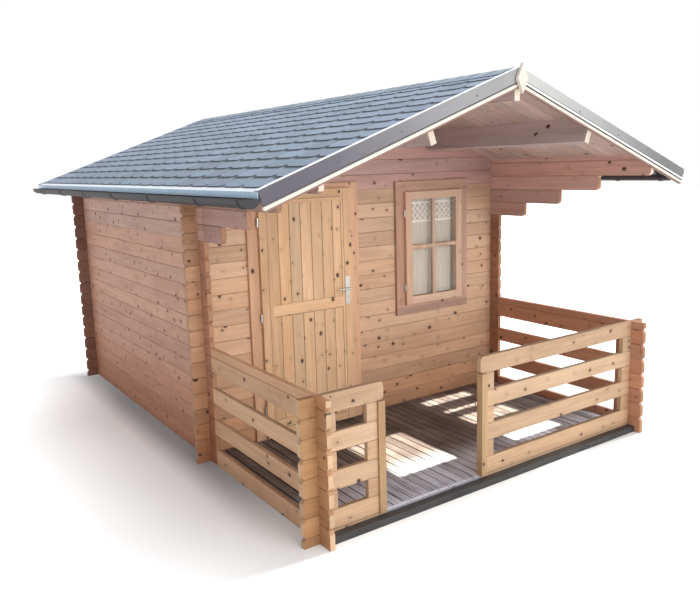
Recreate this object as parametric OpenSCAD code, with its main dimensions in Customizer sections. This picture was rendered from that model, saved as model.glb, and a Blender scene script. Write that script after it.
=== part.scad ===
// Log garden house with a gabled roof, a covered terrace and a low log railing.
// Frame: +Z up, ground at z = 0. The origin is on the house's centre line, under the middle
// of the front wall. +X runs to the right along the front, +Y runs to the back.

/* [Logs] */
// Height of one wall board
board_h = 120; // [100:1:140]
// Thickness of the wall boards
board_t = 34; // [28:1:44]
// Half height of the V groove at each joint between boards
joint_v = 6; // [3:0.5:9]
// Depth of that V groove
joint_d = 4; // [2:0.5:6]
// Half height of the notch between two log ends
notch_v = 22; // [10:1:28]
// Depth of the notch between two log ends
notch_d = 18; // [8:1:26]
// Length of a log end beyond the outer face of the wall it crosses
log_overlap = 110; // [80:5:140]

/* [Cabin] */
// Outside width over the side walls
cabin_w = 3000; // [2600:10:3400]
// Outside depth over the front and back walls
cabin_d = 3000; // [2400:10:3600]
// Whole boards in a side wall below the boards that step forward
wall_rows = 14; // [13:1:15]
// Whole boards in a side wall altogether
eave_rows = 18; // [18:1:20]
// Extra height of the top side board, planed to the roof slope
top_board_extra = 28; // [15:1:45]
// Whole boards in the front and back walls below the gable, above their first half board
gable_rows = 16; // [16:1:17]

/* [Eave logs] */
// How far the lowest stepped board runs in front of the front wall's middle
first_step = 430; // [350:10:500]
// How much further forward each next stepped board runs
step_pitch = 385; // [300:5:405]
// Radius on the lower corner of a stepped board's front end
step_round = 35; // [15:1:50]

/* [Terrace] */
// From the middle of the front wall to the middle of the front railing
terrace_d = 1530; // [1400:10:1700]
// Whole boards in the railing, which has a half board more
rail_rows = 7; // [7:2:7]
// Left edge of the way in, across the front
entry_x = -1015; // [-1100:5:-900]
// Width of the way in
entry_w = 820; // [700:5:950]
// Face of a gate post
post_w = 50; // [40:1:70]
// Solid stretch of a railing inside the corner crossing
corner_fill = 100; // [60:5:150]
// Solid stretch of a front railing beside its post
post_fill = 76; // [50:1:110]
// Radius on the ends of the top rails over the posts
rail_round = 28; // [10:1:45]
// Thickness of the deck and floor boards
deck_t = 28; // [20:1:36]
// Height of the deck and the floor above the ground
deck_top = 60; // [50:1:60]
// Width of the bearers under the deck and the floor
bearer_w = 60; // [40:1:80]
// Bearers under the deck, and again under the floor
bearer_count = 5; // [3:1:7]
// Width of the dark sill beam along the terrace front
sill_w = 60; // [40:1:90]
// Height of that sill beam
sill_h = 45; // [30:1:50]

/* [Roof] */
// Pitch of the roof, in degrees
roof_pitch = 20; // [15:0.5:25]
// Reach of the roof past the side walls
side_over = 370; // [300:5:420]
// Reach of the roof past the middle of the front railing
front_over = 150; // [145:5:260]
// Reach of the roof past the middle of the back wall
back_over = 260; // [180:5:300]
// Thickness of the roof boarding
roof_board_t = 19; // [15:1:24]
// Thickness of the shingle covering
shingle_t = 6; // [4:1:10]
// Reach of the ridge shingles down each slope, measured level
ridge_cap_w = 130; // [90:5:180]
// Thickness of the ridge shingles
ridge_cap_t = 5; // [3:1:8]
// Height of the verge boards, square to the slope
fascia_h = 110; // [95:1:140]
// Thickness of the verge boards
fascia_t = 20; // [16:1:28]
// Height of the metal verge flashing, square to the slope
flash_h = 88; // [70:1:95]
// Thickness of the flashing metal
metal_t = 2; // [1:0.5:3]
// Width of the verge flashing over the shingles
verge_top_w = 45; // [30:1:70]
// How far the fold at the lower edge of the verge flashing stands out
verge_lip = 5; // [3:0.5:8]
// Metal of the eave flashing left bare below the shingles, measured level
eave_bare = 42; // [25:1:60]
// Height of the eave flashing's front leg
eave_leg = 34; // [20:1:40]
// Width of the purlins
purlin_w = 45; // [38:1:60]
// Height of the purlins
purlin_h = 175; // [120:1:190]
// Level distance of the middle purlins from the ridge
mid_purlin_x = 755; // [550:5:850]
// Height of the diamond plate at the front of the ridge
finial_h = 185; // [150:5:220]
// Width of that plate
finial_w = 90; // [60:1:110]
// Thickness of that plate
finial_t = 22; // [15:1:30]

/* [Gutter] */
// Outside radius of the half-round gutter
gutter_r = 50; // [40:1:60]
// Wall of the gutter
gutter_t = 2; // [1.5:0.5:3]
// How far the gutter's back rim reaches in under the roof edge
gutter_tuck = 10; // [4:0.5:11]
// Drop from the roof boarding's lower edge to the gutter's rim
gutter_drop = 12; // [8:1:30]
// How far both gutters stop short of the roof's back edge
gutter_back_gap = 150; // [100:5:250]
// How far the right gutter starts behind the roof's front edge
gutter_front_gap = 140; // [100:5:250]
// From a gutter's front end to the middle of its end bracket
bracket_end = 75; // [50:5:150]
// From the roof's front edge to the middle of the next bracket
bracket_first = 610; // [450:5:750]
// Spacing of the gutter's further brackets
bracket_pitch = 765; // [500:5:900]
// Width of a bracket's strap
bracket_w = 25; // [16:1:35]
// Thickness of a bracket's strap
bracket_t = 4; // [3:0.5:6]
// Reach of a bracket's strap under the roof boarding
bracket_reach = 75; // [50:1:110]

/* [Door] */
// Middle of the door across the front
door_x = -607; // [-660:1:-560]
// Width of the door leaf
leaf_w = 840; // [760:5:860]
// Top of the door leaf above the ground
leaf_top = 2003; // [1900:1:2010]
// Gap between the leaf's outer layer and the deck
leaf_foot_gap = 10; // [8:1:20]
// Lap of the leaf over its frame
leaf_lap = 15; // [10:1:20]
// Gap between the leaf and the faces it closes on
leaf_gap = 6; // [5:0.5:8]
// Gap on the lock side, where the leaf swings a little wider
lock_gap = 8; // [7:0.5:10]
// Thickness of the leaf's outer layer at its stiles
leaf_outer_t = 22; // [18:1:28]
// Thickness of the leaf's inner layer
leaf_inner_t = 22; // [16:1:30]
// Depth of the boarded panels behind the stiles
panel_recess = 8; // [4:1:10]
// Width of the stiles and rails
stile_w = 95; // [80:1:120]
// Bottom of the middle rail above the ground
mid_rail_z = 1035; // [950:1:1100]
// Height of the bottom rail
bottom_rail_h = 140; // [95:1:180]
// Width of one panel board
panel_board = 100; // [80:1:120]
// Face width of the door casing beside the wall opening
casing_lap = 54; // [40:1:70]
// Wood of the frame inside the wall opening
frame_in = 50; // [35:1:60]
// Wood of the door head under the wall above
head_in = 32; // [25:1:60]
// Lap of the door head over the wall above
head_lap = 25; // [20:1:50]
// How far the casings stand out from the wall
casing_out = 24; // [15:1:30]
// Height of the threshold board
threshold_t = 20; // [12:1:30]

/* [Door hardware] */
// Radius of a hinge barrel
barrel_r = 7; // [6:0.5:9]
// Height of half a hinge barrel
barrel_h = 34; // [25:1:45]
// Radius of the hinge pin
pin_r = 3.5; // [2.5:0.5:4]
// Running gap around pins and the handle's neck
pin_gap = 0.3; // [0.2:0.05:0.5]
// Radius of the stud that carries the fixed half of a hinge
stud_r = 4; // [3:0.5:5]
// Height of the lowest hinge above the ground
hinge_z = 305; // [250:1:400]
// Spacing of the hinges
hinge_pitch = 736; // [650:1:760]
// Height of the lever's axis above the ground
lever_z = 1190; // [1160:1:1230]
// Keyhole below the lever's axis
key_drop = 72; // [55:1:85]
// Width of the handle plate
plate_w = 42; // [36:1:50]
// Height of the handle plate
plate_h = 233; // [200:1:260]
// Middle of the handle plate below the lever's axis
plate_drop = 20; // [10:1:30]
// Thickness of the handle plate
plate_t = 3; // [2:0.5:4]
// Radius of the lever's grip
lever_r = 8.5; // [7:0.5:10]
// Length of the lever from its axis
lever_l = 112; // [95:1:125]
// Distance of the grip's middle from the plate
lever_out = 44; // [36:1:55]
// Radius of the spindle through the leaf
spindle_r = 4.5; // [4:0.5:5]

/* [Window] */
// Middle of the window across the front
window_x = 720; // [680:1:760]
// Width of the window sash
sash_w = 650; // [600:5:680]
// Bottom of the sash above the ground
sash_z = 958; // [900:1:1000]
// Height of the sash
sash_h = 982; // [900:1:1000]
// Lap of the sash over its frame
sash_lap = 12; // [8:1:18]
// Thickness of the sash's outer layer
sash_outer_t = 26; // [18:1:30]
// Thickness of the sash's inner layer
sash_inner_t = 20; // [14:1:24]
// Width of the sash's stiles and rails
sash_rail = 66; // [50:1:80]
// Casing's lap over the wall around the window opening
window_lap = 52; // [40:1:70]
// Thickness of the glass
glass_t = 4; // [3:1:6]
// Thickness of the net curtain's hanging space
curtain_t = 12; // [6:1:16]
// Drop of the curtain's top edge below the window frame
curtain_drop = 40; // [20:1:80]

/* [Hidden] */
$fn = 48;
// Clearance where a sloped or round face seats on another
seat = 0.2;
half_t = board_t / 2;
// Middle planes of the walls
side_x = cabin_w / 2 - half_t;
back_y = cabin_d - board_t;
rail_y = -terrace_d;
// Joint heights: side boards start with a whole board, front boards with a half board
side_phase = 0;
front_phase = 0.5;
gable_z = (gable_rows + front_phase) * board_h;
eave_z = wall_rows * board_h;
rail_h = (rail_rows + 0.5) * board_h;
log_end = half_t + log_overlap;
// Roof surfaces: ridge_z is the underside of the boarding at the ridge
ridge_z = eave_rows * board_h + top_board_extra + side_x * tan(roof_pitch);
roof_half = cabin_w / 2 + side_over;
roof_front = rail_y - front_over;
roof_back = back_y + back_over;
purlin_front = roof_front + fascia_t;
purlin_back = roof_back - fascia_t;
roof_top = roof_board_t + shingle_t;
function roof_z(x, off = 0) = ridge_z - abs(x) * tan(roof_pitch) + off / cos(roof_pitch);
// Point at distance s down the right slope from the ridge and n square to it
function on_slope(s, n) = [s * cos(roof_pitch) + n * sin(roof_pitch),
                           ridge_z - s * sin(roof_pitch) + n * cos(roof_pitch)];
// Terrace
deck_z = deck_top - deck_t;
entry_end = entry_x + entry_w;
inner_x = side_x - half_t;
gap_rows = (rail_rows - 1) / 2;
// Casing faces, front and back
case_front = -half_t - casing_out;
case_back = half_t + casing_out;
// Door leaf and frame
leaf_x0 = door_x - leaf_w / 2;
leaf_x1 = door_x + leaf_w / 2;
jamb_x0 = leaf_x0 + leaf_lap;
jamb_x1 = leaf_x1 - leaf_lap;
door_hole_x0 = jamb_x0 - frame_in;
door_hole_x1 = jamb_x1 + frame_in;
head_z = leaf_top - leaf_lap;
door_hole_top = head_z + head_in;
frame_top = door_hole_top + head_lap;
leaf_back = case_front - leaf_gap;
leaf_face = leaf_back - leaf_outer_t;
panel_face = leaf_face + panel_recess;
leaf_inside = leaf_back + leaf_inner_t;
leaf_foot = deck_top + leaf_foot_gap;
threshold_top = deck_top + threshold_t;
panel_x0 = leaf_x0 + stile_w;
panel_x1 = leaf_x1 - stile_w;
// Hinges: the pin stands beside the leaf's edge, in front of the casing
hinge_x = leaf_x0 - barrel_r - 1;
hinge_y = leaf_face + barrel_r + 1;
hinge_heights = [for (i = [0 : 2]) hinge_z + i * hinge_pitch];
lever_x = leaf_x1 - stile_w / 2;
// Window
sash_x0 = window_x - sash_w / 2;
sash_x1 = window_x + sash_w / 2;
pane_x0 = sash_x0 + sash_lap;
pane_x1 = sash_x1 - sash_lap;
pane_z0 = sash_z + sash_lap;
pane_z1 = sash_z + sash_h - sash_lap;
win_hole_x0 = pane_x0 - frame_in;
win_hole_x1 = pane_x1 + frame_in;
win_hole_z0 = pane_z0 - frame_in;
win_hole_z1 = pane_z1 + frame_in;
glass_y = case_front + sash_inner_t / 2 - glass_t;
curtain_y = half_t - curtain_t;
// Gutter
gutter_x = roof_half + gutter_r - gutter_tuck;
gutter_z = roof_z(roof_half) - gutter_drop;
gutter_back = roof_back - gutter_back_gap;
right_gutter_front = roof_front + gutter_front_gap;

// Extrudes a drawing in X and Z along Y
module along_y(y0, y1) translate([0, y1, 0]) rotate([90, 0, 0]) linear_extrude(y1 - y0) children();

// Extrudes a drawing in Y and Z along X
module along_x(x0, x1) translate([x0, 0, 0]) rotate([90, 0, 90]) linear_extrude(x1 - x0) children();

// Rectangle by its corners
module box2(x0, z0, x1, z1) translate([x0, z0]) square([x1 - x0, z1 - z0]);

module mirrored() mirror([1, 0, 0]) children();

// Turns a wall built along X so that it runs along Y in the plane x
module turned(x) translate([x, 0, 0]) rotate([0, 0, 90]) children();

// Heights of the joints between boards inside a stretch of wall
function joints(lo, hi, phase) =
    [for (n = [0 : ceil(hi / board_h)]) let (z = (n + phase) * board_h) if (z > lo + 1 && z < hi - 1) z];

function reversed(list) = [for (i = [len(list) - 1 : -1 : 0]) list[i]];

// One face of a stack of boards, with a V at each joint: dir points out of the face
function grooved(at, dir, zs, v, d) =
    [for (z = zs) each [[at, z - v], [at - dir * d, z], [at, z + v]]];

// Cross-section of stacked boards, grooved on both faces
module board_section(lo, hi, phase) {
    zs = joints(lo, hi, phase);
    polygon(concat([[-half_t, lo]], grooved(-half_t, -1, zs, joint_v, joint_d), [[-half_t, hi]],
                   [[half_t, hi]], reversed(grooved(half_t, 1, zs, joint_v, joint_d)), [[half_t, lo]]));
}

// Elevation of stacked boards whose ends are notched at the joints above from0 and from1
module end_outline(x0, x1, lo, hi, phase, from0, from1) {
    zs = joints(lo, hi, phase);
    low = [for (z = zs) if (z > from0) z];
    high = [for (z = zs) if (z > from1) z];
    polygon(concat([[x0, lo]], grooved(x0, -1, low, notch_v, notch_d), [[x0, hi]],
                   [[x1, hi]], reversed(grooved(x1, 1, high, notch_v, notch_d)), [[x1, lo]]));
}

// Boards along X cut to an elevation, which is drawn by the child
module log_wall(x0, x1, lo, hi, phase) intersection() {
    along_x(x0, x1) board_section(lo, hi, phase);
    along_y(-board_t, board_t) children();
}

// Laps where a crossing wall passes at x: each board loses a quarter above and below
module lap_cuts(x, lo, hi, phase)
    for (n = [floor(lo / board_h) - 1 : ceil(hi / board_h)])
        translate([x - half_t, -board_t, (n + phase) * board_h - board_h / 4])
            cube([board_t, 2 * board_t, board_h / 2]);

// No notch at this end of a wall
no_notch = 100000;

// Space under the roof boarding
module under_roof() polygon([[-roof_half, 0], [roof_half, 0], [roof_half, roof_z(roof_half) - seat],
                             [0, ridge_z - seat], [-roof_half, roof_z(roof_half) - seat]]);

// Walls

// A side wall below the stepped boards; the railing meets its lower front end
module side_wall() turned(-side_x) difference() {
    log_wall(-log_end, back_y + log_end, 0, eave_z, side_phase)
        end_outline(-log_end, back_y + log_end, 0, eave_z, side_phase, rail_h, 0);
    for (y = [0, back_y]) lap_cuts(y, 0, eave_z, side_phase);
}
module left_wall() color("#b9783f") side_wall();
module right_wall() color("#b9783f") mirrored() side_wall();

// A stepped board's elevation, rounded at its lower front corner
module step_board(y0, y1, z0, z1) difference() {
    box2(y0, z0, y1, z1);
    difference() {
        box2(y0 - 1, z0 - 1, y0 + step_round, z0 + step_round);
        translate([y0 + step_round, z0 + step_round]) circle(step_round);
    }
}

// Front end of stepped board i; the top one meets the verge board
function step_y(i) = i == eave_rows - wall_rows - 1 ? purlin_front : -first_step - i * step_pitch;

// The upper boards of a side wall, which step forward under the roof
module side_eave_logs() {
    back = back_y + log_end;
    top = ridge_z;
    intersection() {
        turned(-side_x) difference() {
            log_wall(purlin_front, back, eave_z, top, side_phase) {
                union() for (i = [0 : eave_rows - wall_rows - 1]) {
                    z = eave_z + i * board_h;
                    step_board(step_y(i), back, z, i == eave_rows - wall_rows - 1 ? top : z + board_h);
                }
            }
            for (y = [0, back_y]) lap_cuts(y, eave_z, top, side_phase);
        }
        along_y(roof_front, roof_back) under_roof();
    }
}
module left_eave_logs() color("#b5703c") side_eave_logs();
module right_eave_logs() color("#b5703c") mirrored() side_eave_logs();

// Openings cut through the front wall
module door_hole() box2(door_hole_x0, -1, door_hole_x1, door_hole_top);
module window_hole() box2(win_hole_x0, win_hole_z0, win_hole_x1, win_hole_z1);

// Part of the front wall below the gable, between x0 and x1
module front_part(x0, x1) difference() {
    end = side_x + log_end;
    log_wall(x0, x1, 0, gable_z, front_phase) difference() {
        end_outline(-end, end, 0, gable_z, front_phase, 0, 0);
        door_hole();
        window_hole();
    }
    for (x = [-side_x, side_x]) lap_cuts(x, 0, gable_z, front_phase);
}
module front_wall_left() color("#c58a4e") front_part(-side_x - log_end, door_hole_x0);
module front_wall_right() color("#c58a4e") front_part(door_hole_x1, side_x + log_end);

// Sections of the purlins, grown by g for the cuts that they pass through
module ridge_section(g) polygon([[-purlin_w / 2 - g, ridge_z - purlin_h - g],
    [purlin_w / 2 + g, ridge_z - purlin_h - g], [purlin_w / 2 + g, roof_z(purlin_w / 2) - seat + 2 * g],
    [0, ridge_z - seat + 2 * g], [-purlin_w / 2 - g, roof_z(purlin_w / 2) - seat + 2 * g]]);
module mid_section(g) {
    s = mid_purlin_x / cos(roof_pitch);
    w = purlin_w / 2 + g;
    polygon([on_slope(s - w, -purlin_h - g), on_slope(s + w, -purlin_h - g),
             on_slope(s + w, -seat + 2 * g), on_slope(s - w, -seat + 2 * g)]);
}

// Gable boards above a front or back wall, notched around the purlins
module gable() {
    end = side_x + log_end;
    low = min(gable_z, door_hole_top);
    difference() {
        log_wall(-end, end, low, ridge_z, front_phase) intersection() {
            end_outline(-end, end, low, ridge_z, front_phase, 0, 0);
            under_roof();
        }
        for (x = [-side_x, side_x]) lap_cuts(x, low, ridge_z, front_phase);
        along_y(-board_t, board_t) {
            ridge_section(seat);
            mid_section(seat);
            mirrored() mid_section(seat);
            children();
        }
    }
}
module front_gable() color("#a9683f") gable() {
    door_hole();
    window_hole();
    box2(-side_x - log_end - 1, 0, door_hole_x0, gable_z);
    box2(door_hole_x1, 0, side_x + log_end + 1, gable_z);
}
module back_wall() color("#c0834a") translate([0, back_y, 0]) difference() {
    end = side_x + log_end;
    log_wall(-end, end, 0, gable_z, front_phase) end_outline(-end, end, 0, gable_z, front_phase, 0, 0);
    for (x = [-side_x, side_x]) lap_cuts(x, 0, gable_z, front_phase);
}
module back_gable() color("#a9683f") translate([0, back_y, 0]) gable()
    box2(-side_x - log_end - 1, 0, side_x + log_end + 1, gable_z);

// Roof

module ridge_purlin() color("#d9b184") along_y(purlin_front, purlin_back) ridge_section(0);
module mid_purlins() color("#d9b184") for (side = [0, 1])
    mirror([side, 0, 0]) along_y(purlin_front, purlin_back) mid_section(0);

// Strip along the right slope from x0 to x1, between two heights square to it
module slope_strip(x0, x1, off0, off1)
    polygon([[x0, roof_z(x0, off0)], [x1, roof_z(x1, off0)],
             [x1, roof_z(x1, off1)], [x0, roof_z(x0, off1)]]);

module roof_boards() along_y(purlin_front, purlin_back) slope_strip(0, roof_half, 0, roof_board_t);
module left_roof_boards() color("#c99a66") mirrored() roof_boards();
module right_roof_boards() color("#c99a66") roof_boards();

module shingles()
    along_y(roof_front, roof_back) slope_strip(0, roof_half - eave_bare, roof_board_t, roof_top);
module left_shingles() color("#6d7f93") mirrored() shingles();
module right_shingles() color("#6d7f93") shingles();

module ridge_cap() color("#5f7186") along_y(roof_front + verge_top_w, roof_back - verge_top_w) {
    cap = roof_top + ridge_cap_t;
    polygon([[0, roof_z(0, roof_top)], [ridge_cap_w, roof_z(ridge_cap_w, roof_top)],
             [ridge_cap_w, roof_z(ridge_cap_w, cap)], [0, roof_z(0, cap)],
             [-ridge_cap_w, roof_z(ridge_cap_w, cap)], [-ridge_cap_w, roof_z(ridge_cap_w, roof_top)]]);
}

// Strip along the right slope that ends square to it, with its upper outer corner at x1
module square_strip(x1, off0, off1) {
    back = (off1 - off0) * sin(roof_pitch);
    polygon([[0, roof_z(0, off0)], [x1 - back, roof_z(x1 - back, off0)],
             [x1, roof_z(x1, off1)], [0, roof_z(0, off1)]]);
}

// Verge boards under the front and back edges of the right slope
module verge_boards() for (y = [roof_front, purlin_back])
    along_y(y, y + fascia_t) square_strip(roof_half, roof_board_t - fascia_h, roof_board_t);
module left_verge_boards() color("#e3c49a") mirrored() verge_boards();
module right_verge_boards() color("#e3c49a") verge_boards();

// Folded metal over one verge of the right slope; its face looks along -Y
module verge_flashing() {
    top = roof_top + metal_t;
    reach = roof_half + metal_t;
    lip_reach = reach - (flash_h - metal_t) * sin(roof_pitch);
    along_y(-metal_t, 0) square_strip(reach, top - flash_h, top);
    along_y(-metal_t, verge_top_w) square_strip(reach, roof_top, top);
    along_y(-metal_t - verge_lip, 0) square_strip(lip_reach, top - flash_h, top - flash_h + metal_t);
}
module verge_flashings() {
    translate([0, roof_front, 0]) verge_flashing();
    translate([0, roof_back, 0]) mirror([0, 1, 0]) verge_flashing();
}
module left_verge_flashings() color("#8d8890") mirrored() verge_flashings();
module right_verge_flashings() color("#aab1b6") verge_flashings();

// Drip edges: a bare strip on the boarding and a front leg over the roof edge
module eave_flashings() color("#a9bccd") for (side = [0, 1]) mirror([side, 0, 0])
    along_y(roof_front, roof_back) {
        top = roof_z(roof_half, roof_board_t + metal_t);
        slope_strip(roof_half - eave_bare, roof_half, roof_board_t, roof_board_t + metal_t);
        box2(roof_half, top - eave_leg, roof_half + metal_t, top);
    }

// Half ring below the gutter's rim
module half_ring(r_in, r_out) difference() {
    circle(r_out);
    circle(r_in);
    box2(-r_out - 1, 0, r_out + 1, r_out + 1);
}

// One gutter under the right eave, closed at both ends
module gutter_run(front) translate([gutter_x, 0, gutter_z]) {
    along_y(front, gutter_back) half_ring(gutter_r - gutter_t, gutter_r);
    for (y = [front, gutter_back - gutter_t]) along_y(y, y + gutter_t) half_ring(0, gutter_r);
}
module gutters() color("#3b4149") {
    mirrored() gutter_run(roof_front);
    gutter_run(right_gutter_front);
}

// Straps under one gutter that hook up to the roof boarding
module bracket_run(front) {
    ring_in = gutter_r + seat;
    ring_out = ring_in + bracket_t;
    hook = gutter_x - ring_in;
    further = [for (y = [roof_front + bracket_first : bracket_pitch : gutter_back - bracket_w]) y];
    for (y = concat([front + bracket_end], further)) along_y(y - bracket_w / 2, y + bracket_w / 2) {
        translate([gutter_x, gutter_z]) half_ring(ring_in, ring_out);
        polygon([[hook, gutter_z], [hook, roof_z(hook) - seat],
                 [hook - bracket_t, roof_z(hook - bracket_t) - seat], [hook - bracket_t, gutter_z]]);
        slope_strip(hook - bracket_reach, hook - bracket_t, -bracket_t, -seat * cos(roof_pitch));
    }
}
module gutter_brackets() color("#2f343b") {
    mirrored() bracket_run(roof_front);
    bracket_run(right_gutter_front);
}

// Diamond plate in front of the ridge joint
module ridge_plate() color("#e6d3bd") {
    face = roof_front - metal_t - verge_lip;
    top = roof_z(0, roof_top) + finial_h / 8;
    along_y(face - finial_t, face) polygon([[0, top], [finial_w / 2, top - finial_h / 2],
                                            [0, top - finial_h], [-finial_w / 2, top - finial_h / 2]]);
}

// Terrace and floor

// Deck boards between the railings, with a tongue through the way in
module terrace_deck() color("#6b5550") translate([0, 0, deck_z]) linear_extrude(deck_t) {
    box2(-inner_x, rail_y + half_t, inner_x, -half_t);
    box2(entry_x, rail_y - half_t, entry_end, rail_y + half_t);
}

module cabin_floor() color("#b98d5e") translate([-inner_x, half_t, deck_z])
    cube([2 * inner_x, back_y - board_t, deck_t]);

// Bearers under the deck and the floor
module bearers() color("#5a4a44") for (run = [[rail_y + half_t, -half_t], [half_t, back_y - half_t]]) {
    pitch = (run[1] - run[0] - bearer_w) / (bearer_count - 1);
    for (i = [0 : bearer_count - 1])
        translate([-inner_x, run[0] + i * pitch, 0]) cube([2 * inner_x, bearer_w, deck_z]);
}

// Dark beam on the ground along the terrace front, between the log ends
module terrace_sill() color("#3f3a3b") translate([-inner_x, rail_y - half_t - sill_w, 0])
    cube([2 * inner_x, sill_w, sill_h]);

// Rails from x0 to x1: each second board is left out, except at the filled ends
module rail_outline(x0, x1, fill0, fill1, phase) {
    for (i = [0 : gap_rows]) {
        z = i == 0 ? 0 : (2 * i + phase) * board_h;
        box2(x0, z, x1, i == gap_rows ? rail_h : (2 * i + 1 + phase) * board_h);
        if (i < gap_rows) {
            gap = (2 * i + 1 + phase) * board_h;
            box2(x0, gap, fill0, gap + board_h);
            if (fill1 < x1) box2(fill1, gap, x1, gap + board_h);
        }
    }
}

// Side railing from the front corner back to the log ends of the side wall
module side_railing() turned(-side_x) difference() {
    y0 = rail_y - log_end;
    log_wall(y0, -log_end, 0, rail_h, side_phase) intersection() {
        end_outline(y0, -log_end, 0, rail_h, side_phase, 0, no_notch);
        rail_outline(y0, -log_end, rail_y + half_t + corner_fill, -log_end, side_phase);
    }
    lap_cuts(rail_y, 0, rail_h, side_phase);
}
module left_railing() color("#c88f52") side_railing();
module right_railing() color("#c88f52") mirrored() side_railing();

// A top rail's end over its post, with rounded corners
module rail_end(x0, x1, z0, z1) {
    box2(x0, z0, x1 - rail_round, z1);
    intersection() {
        box2(x1 - 2 * rail_round, z0, x1, z1);
        union() {
            for (z = [z0 + rail_round, z1 - rail_round]) translate([x1 - rail_round, z]) circle(rail_round);
            box2(x1 - 2 * rail_round, z0 + rail_round, x1, z1 - rail_round);
        }
    }
}

// Front railing from its left log end to the way in at x1
module front_railing(x1) translate([0, rail_y, 0]) difference() {
    x0 = -side_x - log_end;
    boards = x1 - post_w;
    low = front_phase * board_h;
    top = (2 * gap_rows + front_phase) * board_h;
    log_wall(x0, x1, 0, rail_h, front_phase) intersection() {
        end_outline(x0, x1, 0, rail_h, front_phase, 0, no_notch);
        union() {
            rail_outline(x0, boards, -inner_x + corner_fill, boards - post_fill, front_phase);
            box2(boards - 1, 0, x1, low);
            rail_end(boards - post_fill, x1, top, rail_h);
        }
    }
    lap_cuts(-side_x, 0, rail_h, front_phase);
}
module front_left_railing() color("#d2a064") front_railing(entry_x);
module front_right_railing() color("#d2a064") mirrored() front_railing(-entry_end);

// Posts beside the way in, under the ends of the top rails
module gate_posts() color("#cfa066") for (x = [entry_x - post_w, entry_end]) {
    low = front_phase * board_h;
    top = (2 * gap_rows + front_phase) * board_h;
    translate([x, rail_y + half_t - post_w, low]) cube([post_w, post_w, top - low]);
}

// Door frame and door

// Plan of a jamb whose outer edge is at x0: it wraps the end of the wall
module jamb_plan(x0) difference() {
    box2(x0, case_front, x0 + casing_lap + frame_in, case_back);
    box2(x0 - 1, -half_t, x0 + casing_lap, half_t);
}
// Jamb up to the top of the door frame; above the wall opening only its casings go on
module jamb(x0) difference() {
    translate([0, 0, deck_top]) linear_extrude(frame_top - deck_top) jamb_plan(x0);
    along_y(-half_t, half_t) box2(x0 - 1, door_hole_top, x0 + casing_lap + frame_in + 1, frame_top + 1);
}
module door_left_jamb() color("#c98c58") jamb(door_hole_x0 - casing_lap);
module door_right_jamb() color("#c98c58") mirrored() jamb(-door_hole_x1 - casing_lap);
module door_head() color("#b57a50") along_x(jamb_x0, jamb_x1) difference() {
    box2(case_front, head_z, case_back, frame_top);
    box2(-half_t, door_hole_top, half_t, frame_top + 1);
}
module door_threshold() color("#8a6a4d") {
    along_y(-half_t, half_t) box2(door_hole_x0, 0, door_hole_x1, deck_top);
    along_y(case_front, case_back) box2(jamb_x0, deck_top, jamb_x1, threshold_top);
}

// Plan of the boarded panels, with a V between boards
module panel_plan() {
    first = panel_x0 + 0.7 * panel_board;
    grooves = [for (x = [first : panel_board : panel_x1 - joint_v]) x];
    polygon(concat([[leaf_x0, leaf_back], [leaf_x0, panel_face]],
        [for (x = grooves) each [[x - joint_v, panel_face], [x, panel_face + joint_d],
                                 [x + joint_v, panel_face]]],
        [[leaf_x1, panel_face], [leaf_x1, leaf_back]]));
}
module door_leaf() color("#d8aa6c") difference() {
    union() {
        translate([0, 0, leaf_foot]) linear_extrude(leaf_top - leaf_foot) panel_plan();
        along_y(leaf_face, panel_face + joint_d) difference() {
            box2(leaf_x0, leaf_foot, leaf_x1, leaf_top);
            box2(panel_x0, leaf_foot + bottom_rail_h, panel_x1, mid_rail_z);
            box2(panel_x0, mid_rail_z + stile_w, panel_x1, leaf_top - stile_w);
        }
        along_y(leaf_back, leaf_inside) box2(jamb_x0 + leaf_gap, threshold_top + leaf_gap,
                                             jamb_x1 - lock_gap, head_z - leaf_gap);
    }
    along_y(leaf_face - 1, leaf_inside + 1) translate([lever_x, lever_z]) circle(spindle_r + 1);
}

// Fixed halves of the hinges: barrel, pin and the stud into the jamb
module hinge_pins() color("#c9ccce") for (z = hinge_heights) translate([hinge_x, hinge_y, z]) {
    translate([0, 0, -barrel_h]) cylinder(r = barrel_r, h = barrel_h);
    cylinder(r = pin_r, h = barrel_h - 4);
    translate([0, 0, -barrel_h / 2]) rotate([-90, 0, 0]) cylinder(r = stud_r, h = case_front - hinge_y);
}
// Moving halves of the hinges, each with a block to the leaf's edge
module hinge_barrels() color("#c9ccce") for (z = hinge_heights)
    translate([hinge_x, hinge_y, z + 2 * pin_gap]) difference() {
        union() {
            cylinder(r = barrel_r, h = barrel_h);
            translate([0, -stud_r, barrel_h / 4]) cube([leaf_x0 - hinge_x, 2 * stud_r, barrel_h / 2]);
        }
        translate([0, 0, -1]) cylinder(r = pin_r + pin_gap, h = barrel_h - 1);
    }

// Face of a handle plate around the lever's axis, with its keyhole
module plate_face() difference() {
    round = plate_w / 4;
    low = -plate_drop - plate_h / 2;
    high = -plate_drop + plate_h / 2;
    union() {
        box2(-plate_w / 2 + round, low, plate_w / 2 - round, high);
        box2(-plate_w / 2, low + round, plate_w / 2, high - round);
        for (x = [-1, 1], z = [low + round, high - round])
            translate([x * (plate_w / 2 - round), z]) circle(round);
    }
    circle(lever_r + pin_gap);
    translate([0, -key_drop]) {
        circle(4);
        box2(-2, -11, 2, 0);
    }
}
module handle_plates() color("#d8dadb") for (y = [leaf_face - plate_t, leaf_inside])
    translate([lever_x, 0, lever_z]) along_y(y, y + plate_t) plate_face();

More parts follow.
